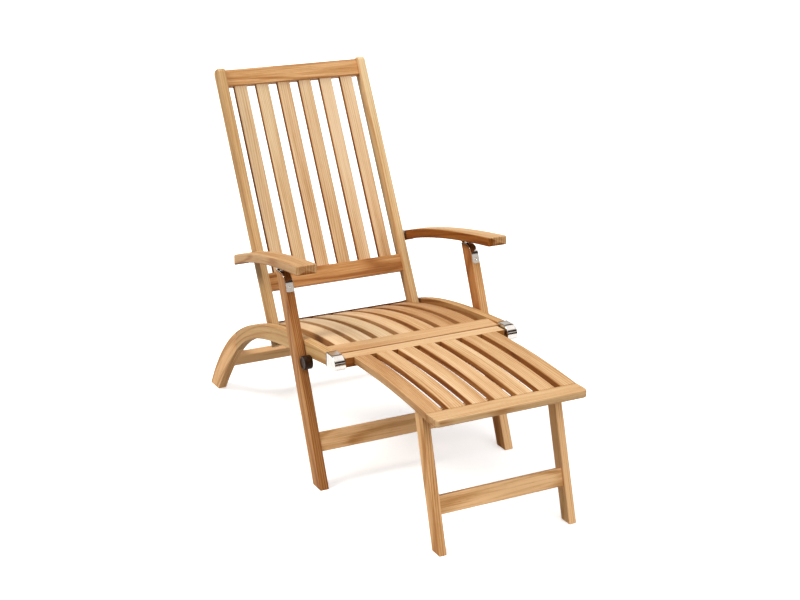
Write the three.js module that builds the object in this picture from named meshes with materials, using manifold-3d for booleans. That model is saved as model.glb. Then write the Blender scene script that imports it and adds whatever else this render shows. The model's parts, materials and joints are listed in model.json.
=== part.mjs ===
// A folding steamer deck chair in teak with polished steel fittings.
//
// Millimetres, +Z up, the front of the chair is -Y and +X is to its right hand side
// as seen from the front. The origin is on the floor, under the middle of the chair.
//
// The seat frame is two arched side rails, each running into a curved rear leg, with
// cross bars and seven long seat slats. On it turn the backrest and the front legs.
// An arm on each side ties them together, so that pivot to pivot the side rail, the
// stile, the arm and the post above the front leg make a parallelogram. A footrest
// with its own pair of legs is hinged between the noses of the side rails.

import * as THREE from 'three';
import { mergeVertices } from 'three/addons/utils/BufferGeometryUtils.js';
import Module from 'manifold-3d';

const wasm = await Module();
wasm.setup();

// Driving dimensions

// Clearances and overruns
const FIT = 0.3; // between a tenon, a pin or a fitting and what holds it
const RUNNING_GAP = 2; // between two pieces that turn past each other
const OVERRUN = 5; // how far a cutting block runs past what it cuts
const WELD = 1; // how far the two solids of one welded or glued piece run together

// The four pivots of the parallelogram, as y and z
const BACK_PIVOT = { y: 262.5, z: 300 };
const STILE_RISE = { y: 99, z: 199 }; // from the back pivot up to the arm pivot
const RAIL_RUN = { y: -300, z: 49.6 }; // from the back pivot forward to the leg pivot
const ARM_PIVOT = { y: BACK_PIVOT.y + STILE_RISE.y, z: BACK_PIVOT.z + STILE_RISE.z };
const LEG_PIVOT = { y: BACK_PIVOT.y + RAIL_RUN.y, z: BACK_PIVOT.z + RAIL_RUN.z };
const KNUCKLE = { y: LEG_PIVOT.y + STILE_RISE.y, z: LEG_PIVOT.z + STILE_RISE.z };

// Side rails and rear legs
const RAIL_THICKNESS = 26;
const RAIL_OUTER = 272; // half width over the side rails
const RAIL_INNER = RAIL_OUTER - RAIL_THICKNESS;
const NOSE_Y = -251.5; // front end of the side rail
const NOSE_TOP = 386;
const NOSE_DEPTH = 36; // at its heel
const NOSE_RISE = 4; // of its underside, from the heel to the front end
const NOSE_ROUND = 24; // radius of the top front corner of the rail
const NOSE_HEEL_Y = -198; // where the steel cap ends and the arch starts
const REAR_FOOT_Y = 685.5; // rear of the foot, on the floor
const REAR_FOOT_DEPTH = 65; // along the floor
const SCARF_Y = 454.5; // joint between side rail and rear leg
const SCARF_TONGUE = { length: 30, thickness: 8, height: 20, z: 223 };

// Steel caps on the rail noses
const CAP_SHEET = 2;

// Cross bars of the seat
const TENON = 12;
const TENON_SHOULDER = 6; // from the faces of a bar to its tenon
const SEAT_TOP = 380;
const FOOTREST_REAR_Y = -200.5; // rear face of the footrest's rear rail
const FOOTREST_GAP = 3; // from there to the front rail of the seat
const SEAT_FRONT_RAIL = { y: FOOTREST_REAR_Y + FOOTREST_GAP, depth: 59, height: 26 };
const SEAT_BEARER = { y: 185, depth: 25, height: 30 };
const SEAT_BATTEN = { depth: 14, height: 23, rise: 1 }; // rise is above the ends of the slats
const REAR_STRETCHER = { y: 531.5, z: 125, width: 63, thickness: 20 };
const REAR_STRETCHER_LEAN = 45.6;

// Slats of the seat and the footrest
const SLAT_WIDTH = 46.6;
const SLAT_COUNT = 7;
const SLAT_SIDE_GAP = 31.9; // between a side rail and the slat next to it
const SLAT_SPACING = 2 * (RAIL_INNER - SLAT_SIDE_GAP - SLAT_WIDTH / 2) / (SLAT_COUNT - 1);
const SLAT_THICKNESS = 20;
const SLAT_REAR_Y = 302;
const SLAT_FRONT_TOP = 376;
const SLAT_REAR_TOP = 303;
const TONGUE = { length: 9, thickness: 8, shoulder: 6 };

// Backrest, measured along and across its own lean
const BACK_LEAN = 27.7;
const STILE_GAP = 8; // between a side rail and a stile, where the collar of the pin is
const STILE_OUTER = RAIL_INNER - STILE_GAP;
const STILE_THICKNESS = 22;
const STILE_INNER = STILE_OUTER - STILE_THICKNESS;
const STILE_DEPTH = 42.2;
const STILE_FOOT = -49; // from the back pivot
const STILE_TIP = 4.6; // above the top rail
const STILE_ROUND = 14;
const BACK_RAIL_RECESS = 14.2; // behind the front of the stiles
const BACK_TOP_RAIL = { z: 754.8, height: 49.2, thickness: 26 };
const STILE_TOP = BACK_TOP_RAIL.z + BACK_TOP_RAIL.height / 2 + STILE_TIP;
const BACK_BOTTOM_RAIL = { z: 137.5, height: 51.6, thickness: 27 };
const BACK_SLAT = { width: 40, sideGap: 24.5, thickness: 13, setback: 7 };
const BACK_SLAT_COUNT = 6;
const BACK_SLAT_SPACING = 2 * (STILE_INNER - BACK_SLAT.sideGap - BACK_SLAT.width / 2)
  / (BACK_SLAT_COUNT - 1);

// Front legs, with the posts above the side rails
const LEG_THICKNESS = 26;
const LEG_INNER = RAIL_OUTER + RUNNING_GAP;
const LEG_OUTER = LEG_INNER + LEG_THICKNESS;
const LEG_LEAN = 21.9;
const LEG_DEPTH = 44.5; // across the lean
const LEG_FLOOR_Y = -179.5; // centre line of the leg on the floor
const POST_TOP = 543;
const POST_ROUND = 34; // radius of the top front corner
const LEG_STRETCHER = { z: 111, height: 52, thickness: 20, recess: 2 };
const STOP = { radius: 19, length: 23, z: 327, gap: 0.5 };
const STOP_STUB = { radius: 3.5, grip: 12, rise: 15 };

// Arms
const ARM_OVERHANG = 16; // of its front end, inward of the post
const ARM_SIDE_GAP = 6; // between its rear end and the stile
const ARM_FRONT_END = { inner: LEG_INNER - ARM_OVERHANG, width: 59.7 };
const ARM_REAR_END = { inner: STILE_OUTER + ARM_SIDE_GAP, width: 48 };
const ARM_THICKNESS = 25.6;
const ARM_FRONT = { y: -118, z: 604.5 }; // front end of the top face
const ARM_REAR = { y: 398, z: 496 }; // rear end of the top face
const ARM_BEND = { y: 208, z: 567 }; // where the tangents of the two ends meet
const ARM_FRONT_ROUND = 7;
const ARM_REAR_ROUND = 9;
const ARM_REAR_SWELL = 5; // how much thicker the arm is at its rear end

// Steel hinge between post and arm
const STRAP = { width: 22, sheet: 2, drop: 45 }; // drop is from the top of the post to its foot
const BARREL = { radius: 4.2, pin: 1.9, share: 1 / 3 };
const LEAF = { length: 26, sheet: 2 };

// Footrest
const FOOTREST_PIVOT = { y: -225.5, z: 369 };
const FOOTREST_REAR_RAIL = { depth: 41, height: 26, rise: 10, round: 10, ease: 5 };
const FOOTREST_FRONT_RAIL = { y: -658.5, depth: 54, height: 20, top: 364.5, fall: 2, round: 6 };
const FOOTREST_SLAT_THICKNESS = 16; // of the five slats between its stiles
const FOOTREST_BEND = { y: -430, z: 386 }; // where the tangents of the two ends meet
const FOOT_LEG_PIVOT_DROP = 20.5; // from the underside of the footrest stile
const FOOT_LEG_THICKNESS = 21;
const FOOT_LEG_LEAN = 15.6;
const FOOT_LEG_DEPTH = 37.4; // across the lean
const FOOT_LEG_SETBACK = 66.05; // of its pivot, from the rear edge of the front rail
const FOOT_LEG_STRETCHER = { z: 114, height: 47, thickness: 18, recess: 6 };
const EAR = { length: 44, thickness: 9.9, below: 12.5 }; // below is how far under the pivot
const EAR_INNER = (SLAT_COUNT - 1) / 2 * SLAT_SPACING - SLAT_WIDTH / 2;
const FOOT_LEG_INNER = EAR_INNER + EAR.thickness + FIT + FIT;
const FOOT_LEG_OUTER = FOOT_LEG_INNER + FOOT_LEG_THICKNESS;

// Pivot pins, each with a collar that keeps the two pieces apart
const BACK_PIN = { radius: 6, collar: 12, grip: 14 };
const ARM_PIN = { radius: 5, collar: 11, grip: 14 };
const LEG_PIN = { radius: 6, collar: 14, grip: 18 };
const FOOTREST_PIN = { radius: 4, collar: 7, grip: 16 };
const FOOTREST_COLLAR = 3.1; // thickness of the collar on that pin
const FOOT_LEG_ROD = { radius: 4, grip: 12 };

// Smoothness
const CURVE_STEPS = 10;
const ROUND_STEPS = 5;
const PIN_SIDES = 16;
const HALVINGS = 40; // in the search for a height on a curve

const SIDES = [['left', -1], ['right', 1]];
const rad = THREE.MathUtils.degToRad;
const tan = (degrees) => Math.tan(rad(degrees));
const cos = (degrees) => Math.cos(rad(degrees));

// Materials

function wood(colour, roughness) {
  return new THREE.MeshStandardMaterial({ color: colour, roughness, metalness: 0 });
}

const PALE_TEAK = wood(0xdcb888, 0.55);
const TEAK = wood(0xc99f6c, 0.55);
const RED_TEAK = wood(0xb07a4a, 0.55);
const STEEL = new THREE.MeshStandardMaterial({ color: 0xd8dadb, roughness: 0.12, metalness: 1 });
const DARK = new THREE.MeshStandardMaterial({ color: 0x2a2420, roughness: 0.4, metalness: 0.2 });

// Solids

function toManifold(geometry) {
  const bare = geometry.clone();
  bare.deleteAttribute('normal');
  bare.deleteAttribute('uv');
  const merged = mergeVertices(bare);
  return new wasm.Manifold(new wasm.Mesh({
    numProp: 3,
    vertProperties: new Float32Array(merged.attributes.position.array),
    triVerts: new Uint32Array(merged.index.array),
  }));
}

function toGeometry(manifold) {
  const mesh = manifold.getMesh();
  const geometry = new THREE.BufferGeometry();
  geometry.setAttribute('position', new THREE.BufferAttribute(mesh.vertProperties, 3));
  geometry.setIndex(new THREE.BufferAttribute(mesh.triVerts, 1));
  return geometry;
}

function cut(geometry, tools) {
  const cutters = tools.map(toManifold);
  return toGeometry(cutters.reduce((body, tool) => body.subtract(tool), toManifold(geometry)));
}

function join(geometry, pieces) {
  const added = pieces.map(toManifold);
  return toGeometry(added.reduce((body, piece) => body.add(piece), toManifold(geometry)));
}

function common(geometry, other) {
  return toGeometry(toManifold(geometry).intersect(toManifold(other)));
}

// A block between two opposite corners
function block(x0, x1, y0, y1, z0, z1) {
  const geometry = new THREE.BoxGeometry(x1 - x0, y1 - y0, z1 - z0);
  geometry.translate((x0 + x1) / 2, (y0 + y1) / 2, (z0 + z1) / 2);
  return geometry;
}

// An outline drawn in y and z, as a board from x0 to x1
function board(shape, x0, x1, steps = ROUND_STEPS) {
  const options = { depth: x1 - x0, bevelEnabled: false, curveSegments: steps };
  const geometry = new THREE.ExtrudeGeometry(shape, options);
  const alongX = new THREE.Matrix4().makeBasis(
    new THREE.Vector3(0, 1, 0),
    new THREE.Vector3(0, 0, 1),
    new THREE.Vector3(1, 0, 0),
  );
  geometry.applyMatrix4(alongX);
  geometry.translate(x0, 0, 0);
  return geometry;
}

// The two x limits of a piece that lies between inner and outer on one side
function span(sign, inner, outer) {
  return sign < 0 ? [-outer, -inner] : [inner, outer];
}

// A turned piece on an axis along x: steps lists where each radius starts, out from x = 0
function turned(sign, steps, end) {
  const profile = [new THREE.Vector2(0, steps[0].x)];
  steps.forEach(({ x, radius }, index) => {
    const next = index + 1 < steps.length ? steps[index + 1].x : end;
    profile.push(new THREE.Vector2(radius, x), new THREE.Vector2(radius, next));
  });
  profile.push(new THREE.Vector2(0, end));
  const geometry = new THREE.LatheGeometry(profile, PIN_SIDES);
  geometry.rotateZ(sign < 0 ? Math.PI / 2 : -Math.PI / 2);
  return geometry;
}

function turnedAt(sign, steps, end, place) {
  const geometry = turned(sign, steps, end);
  geometry.translate(0, place.y, place.z);
  return geometry;
}

// The hole for a pin of this radius between two distances from the middle plane
function bore(sign, radius, inner, outer, place) {
  return turnedAt(sign, [{ x: inner, radius: radius + FIT }], outer, place);
}

// A cross bar with a tenon at each end, lying across the chair
function crossBar(halfSpan, y0, y1, z0, z1, tenon = TENON) {
  const body = block(-halfSpan + FIT, halfSpan - FIT, y0, y1, z0, z1);
  const reach = halfSpan + tenon;
  const core = block(-reach, reach, y0 + TENON_SHOULDER, y1 - TENON_SHOULDER,
    z0 + TENON_SHOULDER, z1 - TENON_SHOULDER);
  return join(body, [core]);
}

// The hole for that tenon
function mortise(sign, halfSpan, y0, y1, z0, z1, tenon = TENON) {
  const [x0, x1] = span(sign, halfSpan - OVERRUN, halfSpan + tenon + FIT);
  const inset = TENON_SHOULDER - FIT;
  return block(x0, x1, y0 + inset, y1 - inset, z0 + inset, z1 - inset);
}

// The tongue at the end of a slat, from y0 to y1 about a centre height
function tongue(x, width, y0, y1, z, spare) {
  const half = width / 2 - TONGUE.shoulder + spare;
  const rise = TONGUE.thickness / 2 + spare;
  return block(x - half, x + half, y0, y1, z - rise, z + rise);
}

function named(name, geometry, material) {
  const flat = geometry.index ? geometry.toNonIndexed() : geometry;
  flat.computeVertexNormals();
  const mesh = new THREE.Mesh(flat, material);
  mesh.name = name;
  return mesh;
}

// Where the centres of evenly spaced slats lie
function slatPlaces(count, spacing) {
  return Array.from({ length: count }, (_, index) => (index - (count - 1) / 2) * spacing);
}

// The height of a curve, drawn in y and z, over one y
function heightAt(curve, y) {
  let low = 0;
  let high = 1;
  const rising = curve.getPoint(1).x > curve.getPoint(0).x;
  for (let step = 0; step < HALVINGS; step += 1) {
    const middle = (low + high) / 2;
    if ((curve.getPoint(middle).x < y) === rising) low = middle;
    else high = middle;
  }
  return curve.getPoint(low).y;
}

// Curves that several pieces follow

// Top and bottom of the side, from the heel of the nose to the floor. The handles of
// each curve are shares of its run in y and of its height.
const TOP_HANDLE_SHARES = [[0.45, 0.937], [0.78, 0.827]];
const BOTTOM_HANDLE_SHARES = [[0.647, 0.803], [0.715, 0.836]];

function sideCurve(start, endY, shares) {
  const at = ([run, rise]) => new THREE.Vector2(start.x + run * (endY - start.x), rise * start.y);
  return new THREE.CubicBezierCurve(start, at(shares[0]), at(shares[1]), new THREE.Vector2(endY, 0));
}

const SIDE_TOP = sideCurve(new THREE.Vector2(NOSE_HEEL_Y, NOSE_TOP), REAR_FOOT_Y,
  TOP_HANDLE_SHARES);
const SIDE_BOTTOM = sideCurve(new THREE.Vector2(NOSE_HEEL_Y, NOSE_TOP - NOSE_DEPTH),
  REAR_FOOT_Y - REAR_FOOT_DEPTH, BOTTOM_HANDLE_SHARES);

const SLAT_FRONT_Y = SEAT_FRONT_RAIL.y + SEAT_FRONT_RAIL.depth;
const SLAT_BEND_SHARE = 0.51; // of the run of a seat slat
const SLAT_BEND_RISE_SHARE = 0.93; // of its fall, above the rear end

function slatTop() {
  const fall = SLAT_FRONT_TOP - SLAT_REAR_TOP;
  const run = SLAT_REAR_Y - SLAT_FRONT_Y;
  return new THREE.QuadraticBezierCurve(
    new THREE.Vector2(SLAT_FRONT_Y, SLAT_FRONT_TOP),
    new THREE.Vector2(SLAT_FRONT_Y + SLAT_BEND_SHARE * run,
      SLAT_REAR_TOP + SLAT_BEND_RISE_SHARE * fall),
    new THREE.Vector2(SLAT_REAR_Y, SLAT_REAR_TOP),
  );
}

const SEAT_SLAT_TOP = slatTop();

// The top of the footrest, from its rear rail forward to its front rail
const FOOTREST_BACK_Y = FOOTREST_REAR_Y - FOOTREST_REAR_RAIL.depth;
const FOOTREST_TOP = FOOTREST_PIVOT.z + FOOTREST_REAR_RAIL.rise;
const FOOTREST_HEAD_Y = FOOTREST_FRONT_RAIL.y + FOOTREST_FRONT_RAIL.depth / 2;
const FOOTREST_CURVE = new THREE.QuadraticBezierCurve(
  new THREE.Vector2(FOOTREST_HEAD_Y, FOOTREST_FRONT_RAIL.top),
  new THREE.Vector2(FOOTREST_BEND.y, FOOTREST_BEND.z),
  new THREE.Vector2(FOOTREST_BACK_Y, FOOTREST_TOP),
);

// The two stiles of the footrest are as thick as the slats of the seat
function footrestThickness(index) {
  const outermost = index === 0 || index === SLAT_COUNT - 1;
  return outermost ? SLAT_THICKNESS : FOOTREST_SLAT_THICKNESS;
}

// The top and the underside of the arm, from its front end to its rear end
function armCurve(drop, tilt) {
  return new THREE.QuadraticBezierCurve(
    new THREE.Vector2(ARM_FRONT.y, ARM_FRONT.z - drop),
    new THREE.Vector2(ARM_BEND.y, ARM_BEND.z - drop),
    new THREE.Vector2(ARM_REAR.y, ARM_REAR.z - drop - tilt),
  );
}

const ARM_TOP = armCurve(0, 0);
const ARM_UNDER = armCurve(ARM_THICKNESS, ARM_REAR_SWELL);

// Outlines, all drawn in y and z

// A quadratic curve as the top of a board that is thickness deep
function stripOutline(curve, thickness) {
  const { v0, v1, v2 } = curve;
  const shape = new THREE.Shape();
  shape.moveTo(v0.x, v0.y);
  shape.quadraticCurveTo(v1.x, v1.y, v2.x, v2.y);
  shape.lineTo(v2.x, v2.y - thickness);
  shape.quadraticCurveTo(v1.x, v1.y - thickness, v0.x, v0.y - thickness);
  return shape;
}

// The nose of a side rail, grown by a margin, with its rear end at rearY
function noseOutline(margin, rearY) {
  const top = NOSE_TOP + margin;
  const slope = NOSE_RISE / (NOSE_HEEL_Y - NOSE_Y);
  const bottom = (y) => NOSE_TOP - NOSE_DEPTH - margin + slope * (NOSE_HEEL_Y - y);
  const front = NOSE_Y - margin;
  const radius = NOSE_ROUND + margin;
  const shape = new THREE.Shape();
  shape.moveTo(front, bottom(front));
  shape.lineTo(rearY, bottom(rearY));
  shape.lineTo(rearY, top);
  shape.lineTo(front + radius, top);
  shape.absarc(front + radius, top - radius, radius, Math.PI / 2, Math.PI, false);
  return shape;
}

// The whole side, nose, rail and rear leg in one
function sideOutline() {
  const under = SIDE_BOTTOM;
  const top = SIDE_TOP;
  const shape = new THREE.Shape();
  shape.moveTo(NOSE_Y, NOSE_TOP - NOSE_DEPTH + NOSE_RISE);
  shape.lineTo(under.v0.x, under.v0.y);
  shape.bezierCurveTo(under.v1.x, under.v1.y, under.v2.x, under.v2.y, under.v3.x, under.v3.y);
  shape.lineTo(top.v3.x, top.v3.y);
  shape.bezierCurveTo(top.v2.x, top.v2.y, top.v1.x, top.v1.y, top.v0.x, top.v0.y);
  shape.lineTo(NOSE_Y + NOSE_ROUND, NOSE_TOP);
  shape.absarc(NOSE_Y + NOSE_ROUND, NOSE_TOP - NOSE_ROUND, NOSE_ROUND, Math.PI / 2, Math.PI, false);
  return shape;
}

// A leaning leg cut level at the floor
const LEG_HALF_RUN = LEG_DEPTH / cos(LEG_LEAN) / 2;
const legY = (z) => LEG_FLOOR_Y + z * tan(LEG_LEAN);
const legFront = (z) => legY(z) - LEG_HALF_RUN;
const legRear = (z) => legY(z) + LEG_HALF_RUN;

// The centre of the arc that rounds the top front corner of the post, for an outline
// grown by a margin: it touches the front face and the level top
function postArc(margin) {
  const radius = POST_ROUND + margin;
  const z = POST_TOP - POST_ROUND;
  return { radius, z, y: legFront(z) + POST_ROUND / cos(LEG_LEAN) };
}

function legOutline() {
  const arc = postArc(0);
  const shape = new THREE.Shape();
  shape.moveTo(legFront(0), 0);
  shape.lineTo(legRear(0), 0);
  shape.lineTo(legRear(POST_TOP), POST_TOP);
  shape.lineTo(arc.y, POST_TOP);
  shape.absarc(arc.y, arc.z, arc.radius, Math.PI / 2, Math.PI - rad(LEG_LEAN), false);
  return shape;
}

// The strap that runs up the front of the post and over its rounded top
function strapOutline() {
  const inner = postArc(FIT);
  const outer = postArc(FIT + STRAP.sheet);
  const step = (margin) => margin / cos(LEG_LEAN);
  const turn = Math.PI - rad(LEG_LEAN);
  const rear = KNUCKLE.y;
  const foot = POST_TOP - STRAP.drop;
  const shape = new THREE.Shape();
  shape.moveTo(legFront(foot) - step(FIT), foot);
  shape.absarc(inner.y, inner.z, inner.radius, turn, Math.PI / 2, true);
  shape.lineTo(rear, POST_TOP + FIT);
  shape.lineTo(rear, POST_TOP + FIT + STRAP.sheet);
  shape.absarc(outer.y, outer.z, outer.radius, Math.PI / 2, turn, false);
  shape.lineTo(legFront(foot) - step(FIT + STRAP.sheet), foot);
  return shape;
}

// The seat frame, which the rest hangs on

function sideRails() {
  const cutOff = SCARF_Y - FIT / 2;
  return SIDES.map(([side, sign]) => {
    const [x0, x1] = span(sign, RAIL_INNER, RAIL_OUTER);
    const whole = board(sideOutline(), x0, x1, CURVE_STEPS);
    const front = common(whole, block(x0 - OVERRUN, x1 + OVERRUN, NOSE_Y - OVERRUN, cutOff,
      -OVERRUN, NOSE_TOP + OVERRUN));
    const rail = cut(front, [
      scarfTongue(sign, FIT),
      mortise(sign, RAIL_INNER, ...seatFrontRailBox()),
      mortise(sign, RAIL_INNER, ...seatBearerBox()),
      bore(sign, BACK_PIN.radius, RAIL_INNER - OVERRUN, RAIL_INNER + BACK_PIN.grip + FIT, BACK_PIVOT),
      bore(sign, LEG_PIN.radius, RAIL_OUTER - LEG_PIN.grip - FIT, RAIL_OUTER + OVERRUN, LEG_PIVOT),
      bore(sign, FOOTREST_PIN.radius, RAIL_INNER - OVERRUN, RAIL_INNER + FOOTREST_PIN.grip + FIT,
        FOOTREST_PIVOT),
      bore(sign, STOP_STUB.radius, RAIL_OUTER - STOP_STUB.grip - FIT, RAIL_OUTER + OVERRUN,
        STUB_PLACE),
    ]);
    return named(`side_rail_${side}`, rail, TEAK);
  });
}

// The tongue of the rear leg that is glued into the end of the side rail
function scarfTongue(sign, spare) {
  const { length, thickness, height, z } = SCARF_TONGUE;
  const middle = (RAIL_INNER + RAIL_OUTER) / 2;
  const [x0, x1] = span(sign, middle - thickness / 2 - spare, middle + thickness / 2 + spare);
  return block(x0, x1, SCARF_Y - length - spare, SCARF_Y + WELD,
    z - height / 2 - spare, z + height / 2 + spare);
}

function rearLegs() {
  const cutOff = SCARF_Y + FIT / 2;
  return SIDES.map(([side, sign]) => {
    const [x0, x1] = span(sign, RAIL_INNER, RAIL_OUTER);
    const whole = board(sideOutline(), x0, x1, CURVE_STEPS);
    const rear = common(whole, block(x0 - OVERRUN, x1 + OVERRUN, cutOff, REAR_FOOT_Y + OVERRUN,
      -OVERRUN, NOSE_TOP + OVERRUN));
    const leg = cut(join(rear, [scarfTongue(sign, 0)]), [leanedRear(stretcherMortise(sign))]);
    return named(`rear_leg_${side}`, leg, TEAK);
  });
}

// The rear stretcher is made upright about its own centre and then leaned with the legs
function stretcherBox() {
  const { width, thickness } = REAR_STRETCHER;
  return [-thickness / 2, thickness / 2, -width / 2, width / 2];
}

function stretcherMortise(sign) {
  return mortise(sign, RAIL_INNER, ...stretcherBox());
}

function leanedRear(geometry) {
  geometry.rotateX(Math.PI / 2 - rad(REAR_STRETCHER_LEAN));
  geometry.translate(0, REAR_STRETCHER.y, REAR_STRETCHER.z);
  return geometry;
}

function seatFrontRailBox() {
  const { y, depth, height } = SEAT_FRONT_RAIL;
  return [y, y + depth, SEAT_TOP - height, SEAT_TOP];
}

function seatBearerBox() {
  const { y, depth, height } = SEAT_BEARER;
  const top = heightAt(SEAT_SLAT_TOP, y + depth / 2) - SLAT_THICKNESS - FIT;
  return [y - depth / 2, y + depth / 2, top - height, top];
}

const SLAT_TONGUE_FRONT_Z = SLAT_FRONT_TOP - SLAT_THICKNESS / 2;
const SLAT_TONGUE_REAR_Z = SLAT_REAR_TOP - SLAT_THICKNESS / 2;

function seatSlats() {
  return slatPlaces(SLAT_COUNT, SLAT_SPACING).map((x, index) => {
    const outline = stripOutline(SEAT_SLAT_TOP, SLAT_THICKNESS);
    const body = board(outline, x - SLAT_WIDTH / 2, x + SLAT_WIDTH / 2, CURVE_STEPS);
    const fitted = cut(body, [
      block(x - SLAT_WIDTH, x + SLAT_WIDTH, SLAT_FRONT_Y - OVERRUN, SLAT_FRONT_Y + FIT,
        0, SEAT_TOP + OVERRUN),
    ]);
    const slat = join(fitted, [
      tongue(x, SLAT_WIDTH, SLAT_FRONT_Y - TONGUE.length, SLAT_FRONT_Y + WELD + FIT,
        SLAT_TONGUE_FRONT_Z, 0),
      tongue(x, SLAT_WIDTH, SLAT_REAR_Y - WELD, SLAT_REAR_Y + TONGUE.length, SLAT_TONGUE_REAR_Z, 0),
    ]);
    return named(`seat_slat_${index + 1}`, slat, PALE_TEAK);
  });
}

function seatCrossBars() {
  const places = slatPlaces(SLAT_COUNT, SLAT_SPACING);
  const frontRail = cut(crossBar(RAIL_INNER, ...seatFrontRailBox()), places.map((x) => tongue(
    x, SLAT_WIDTH, SLAT_FRONT_Y - TONGUE.length - FIT, SLAT_FRONT_Y + OVERRUN,
    SLAT_TONGUE_FRONT_Z, FIT,
  )));
  const half = places[places.length - 1] + SLAT_WIDTH / 2;
  const y0 = SLAT_REAR_Y + FIT;
  const top = SLAT_REAR_TOP + SEAT_BATTEN.rise;
  const batten = cut(
    block(-half, half, y0, y0 + SEAT_BATTEN.depth, top - SEAT_BATTEN.height, top),
    places.map((x) => tongue(x, SLAT_WIDTH, SLAT_REAR_Y - OVERRUN,
      SLAT_REAR_Y + TONGUE.length + FIT, SLAT_TONGUE_REAR_Z, FIT)),
  );
  return [
    named('seat_front_rail', frontRail, PALE_TEAK),
    named('seat_bearer', crossBar(RAIL_INNER, ...seatBearerBox()), TEAK),
    named('seat_rear_batten', batten, TEAK),
    named('rear_stretcher', leanedRear(crossBar(RAIL_INNER, ...stretcherBox())), RED_TEAK),
  ];
}

// A sheet cap that closes the nose of a side rail and is open behind
function railCaps() {
  return SIDES.map(([side, sign]) => {
    const grown = FIT + CAP_SHEET;
    const [x0, x1] = span(sign, RAIL_INNER - grown, RAIL_OUTER + grown);
    const [i0, i1] = span(sign, RAIL_INNER - FIT, RAIL_OUTER + FIT);
    const outer = board(noseOutline(grown, NOSE_HEEL_Y), x0, x1);
    const inner = board(noseOutline(FIT, NOSE_HEEL_Y + OVERRUN), i0, i1);
    const hole = bore(sign, FOOTREST_PIN.radius, RAIL_INNER - grown - OVERRUN,
      RAIL_INNER + OVERRUN, FOOTREST_PIVOT);
    return named(`rail_cap_${side}`, cut(outer, [inner, hole]), STEEL);
  });
}

// The backrest, drawn upright about the back pivot and then leaned back

function backRailBox(rail) {
  const front = -STILE_DEPTH / 2 + BACK_RAIL_RECESS;
  return [front, front + rail.thickness, rail.z - rail.height / 2, rail.z + rail.height / 2];
}

const BACK_SLAT_FRONT = -STILE_DEPTH / 2 + BACK_RAIL_RECESS + BACK_SLAT.setback;
const BACK_TENON = 11;

function backSlatTenons(spare) {
  const { width, thickness } = BACK_SLAT;
  const half = width / 2 - TONGUE.shoulder + spare;
  const inset = (thickness - TONGUE.thickness) / 2 - spare;
  const low = BACK_BOTTOM_RAIL.z + BACK_BOTTOM_RAIL.height / 2 - TONGUE.length - spare;
  const high = BACK_TOP_RAIL.z - BACK_TOP_RAIL.height / 2 + TONGUE.length + spare;
  return slatPlaces(BACK_SLAT_COUNT, BACK_SLAT_SPACING).map((x) => block(x - half, x + half,
    BACK_SLAT_FRONT + inset, BACK_SLAT_FRONT + thickness - inset, low, high));
}

function stiles() {
  const half = STILE_DEPTH / 2;
  const shape = new THREE.Shape();
  shape.moveTo(-half, STILE_FOOT);
  shape.lineTo(half, STILE_FOOT);
  shape.lineTo(half, STILE_TOP - STILE_ROUND);
  shape.absarc(half - STILE_ROUND, STILE_TOP - STILE_ROUND, STILE_ROUND, 0, Math.PI / 2, false);
  shape.lineTo(-half + STILE_ROUND, STILE_TOP);
  shape.absarc(-half + STILE_ROUND, STILE_TOP - STILE_ROUND, STILE_ROUND, Math.PI / 2, Math.PI, false);
  const armPlace = { y: 0, z: Math.hypot(STILE_RISE.y, STILE_RISE.z) };
  const lean = Math.atan2(STILE_RISE.y, STILE_RISE.z) - rad(BACK_LEAN);
  const armAt = { y: armPlace.z * Math.sin(lean), z: armPlace.z * Math.cos(lean) };
  return SIDES.map(([side, sign]) => {
    const [x0, x1] = span(sign, STILE_INNER, STILE_OUTER);
    const stile = cut(board(shape, x0, x1), [
      mortise(sign, STILE_INNER, ...backRailBox(BACK_TOP_RAIL), BACK_TENON),
      mortise(sign, STILE_INNER, ...backRailBox(BACK_BOTTOM_RAIL), BACK_TENON),
      bore(sign, BACK_PIN.radius, STILE_OUTER - BACK_PIN.grip - FIT, STILE_OUTER + OVERRUN,
        { y: 0, z: 0 }),
      bore(sign, ARM_PIN.radius, STILE_OUTER - ARM_PIN.grip - FIT, STILE_OUTER + OVERRUN, armAt),
    ]);
    return named(`stile_${side}`, stile, TEAK);
  });
}

function backPanel() {
  const bar = (rail) => cut(
    crossBar(STILE_INNER, ...backRailBox(rail), BACK_TENON),
    backSlatTenons(FIT),
  );
  const { width, thickness } = BACK_SLAT;
  const tenons = backSlatTenons(0);
  const low = BACK_BOTTOM_RAIL.z + BACK_BOTTOM_RAIL.height / 2 + FIT;
  const high = BACK_TOP_RAIL.z - BACK_TOP_RAIL.height / 2 - FIT;
  const slats = slatPlaces(BACK_SLAT_COUNT, BACK_SLAT_SPACING).map((x, index) => {
    const body = block(x - width / 2, x + width / 2, BACK_SLAT_FRONT, BACK_SLAT_FRONT + thickness,
      low, high);
    return named(`back_slat_${index + 1}`, join(body, [tenons[index]]), PALE_TEAK);
  });
  return [
    named('back_top_rail', bar(BACK_TOP_RAIL), RED_TEAK),
    named('back_bottom_rail', bar(BACK_BOTTOM_RAIL), RED_TEAK),
    ...slats,
  ];
}

function backPins() {
  return SIDES.map(([side, sign]) => {
    const steps = [
      { x: STILE_OUTER - BACK_PIN.grip, radius: BACK_PIN.radius },
      { x: STILE_OUTER + FIT, radius: BACK_PIN.collar },
      { x: RAIL_INNER - FIT, radius: BACK_PIN.radius },
    ];
    return named(`back_pin_${side}`, turned(sign, steps, RAIL_INNER + BACK_PIN.grip), STEEL);
  });
}

function backrest() {
  const group = new THREE.Group();
  group.position.set(0, BACK_PIVOT.y, BACK_PIVOT.z);
  group.rotation.x = -rad(BACK_LEAN);
  group.add(...stiles(), ...backPanel(), ...backPins());
  return group;
}

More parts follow.
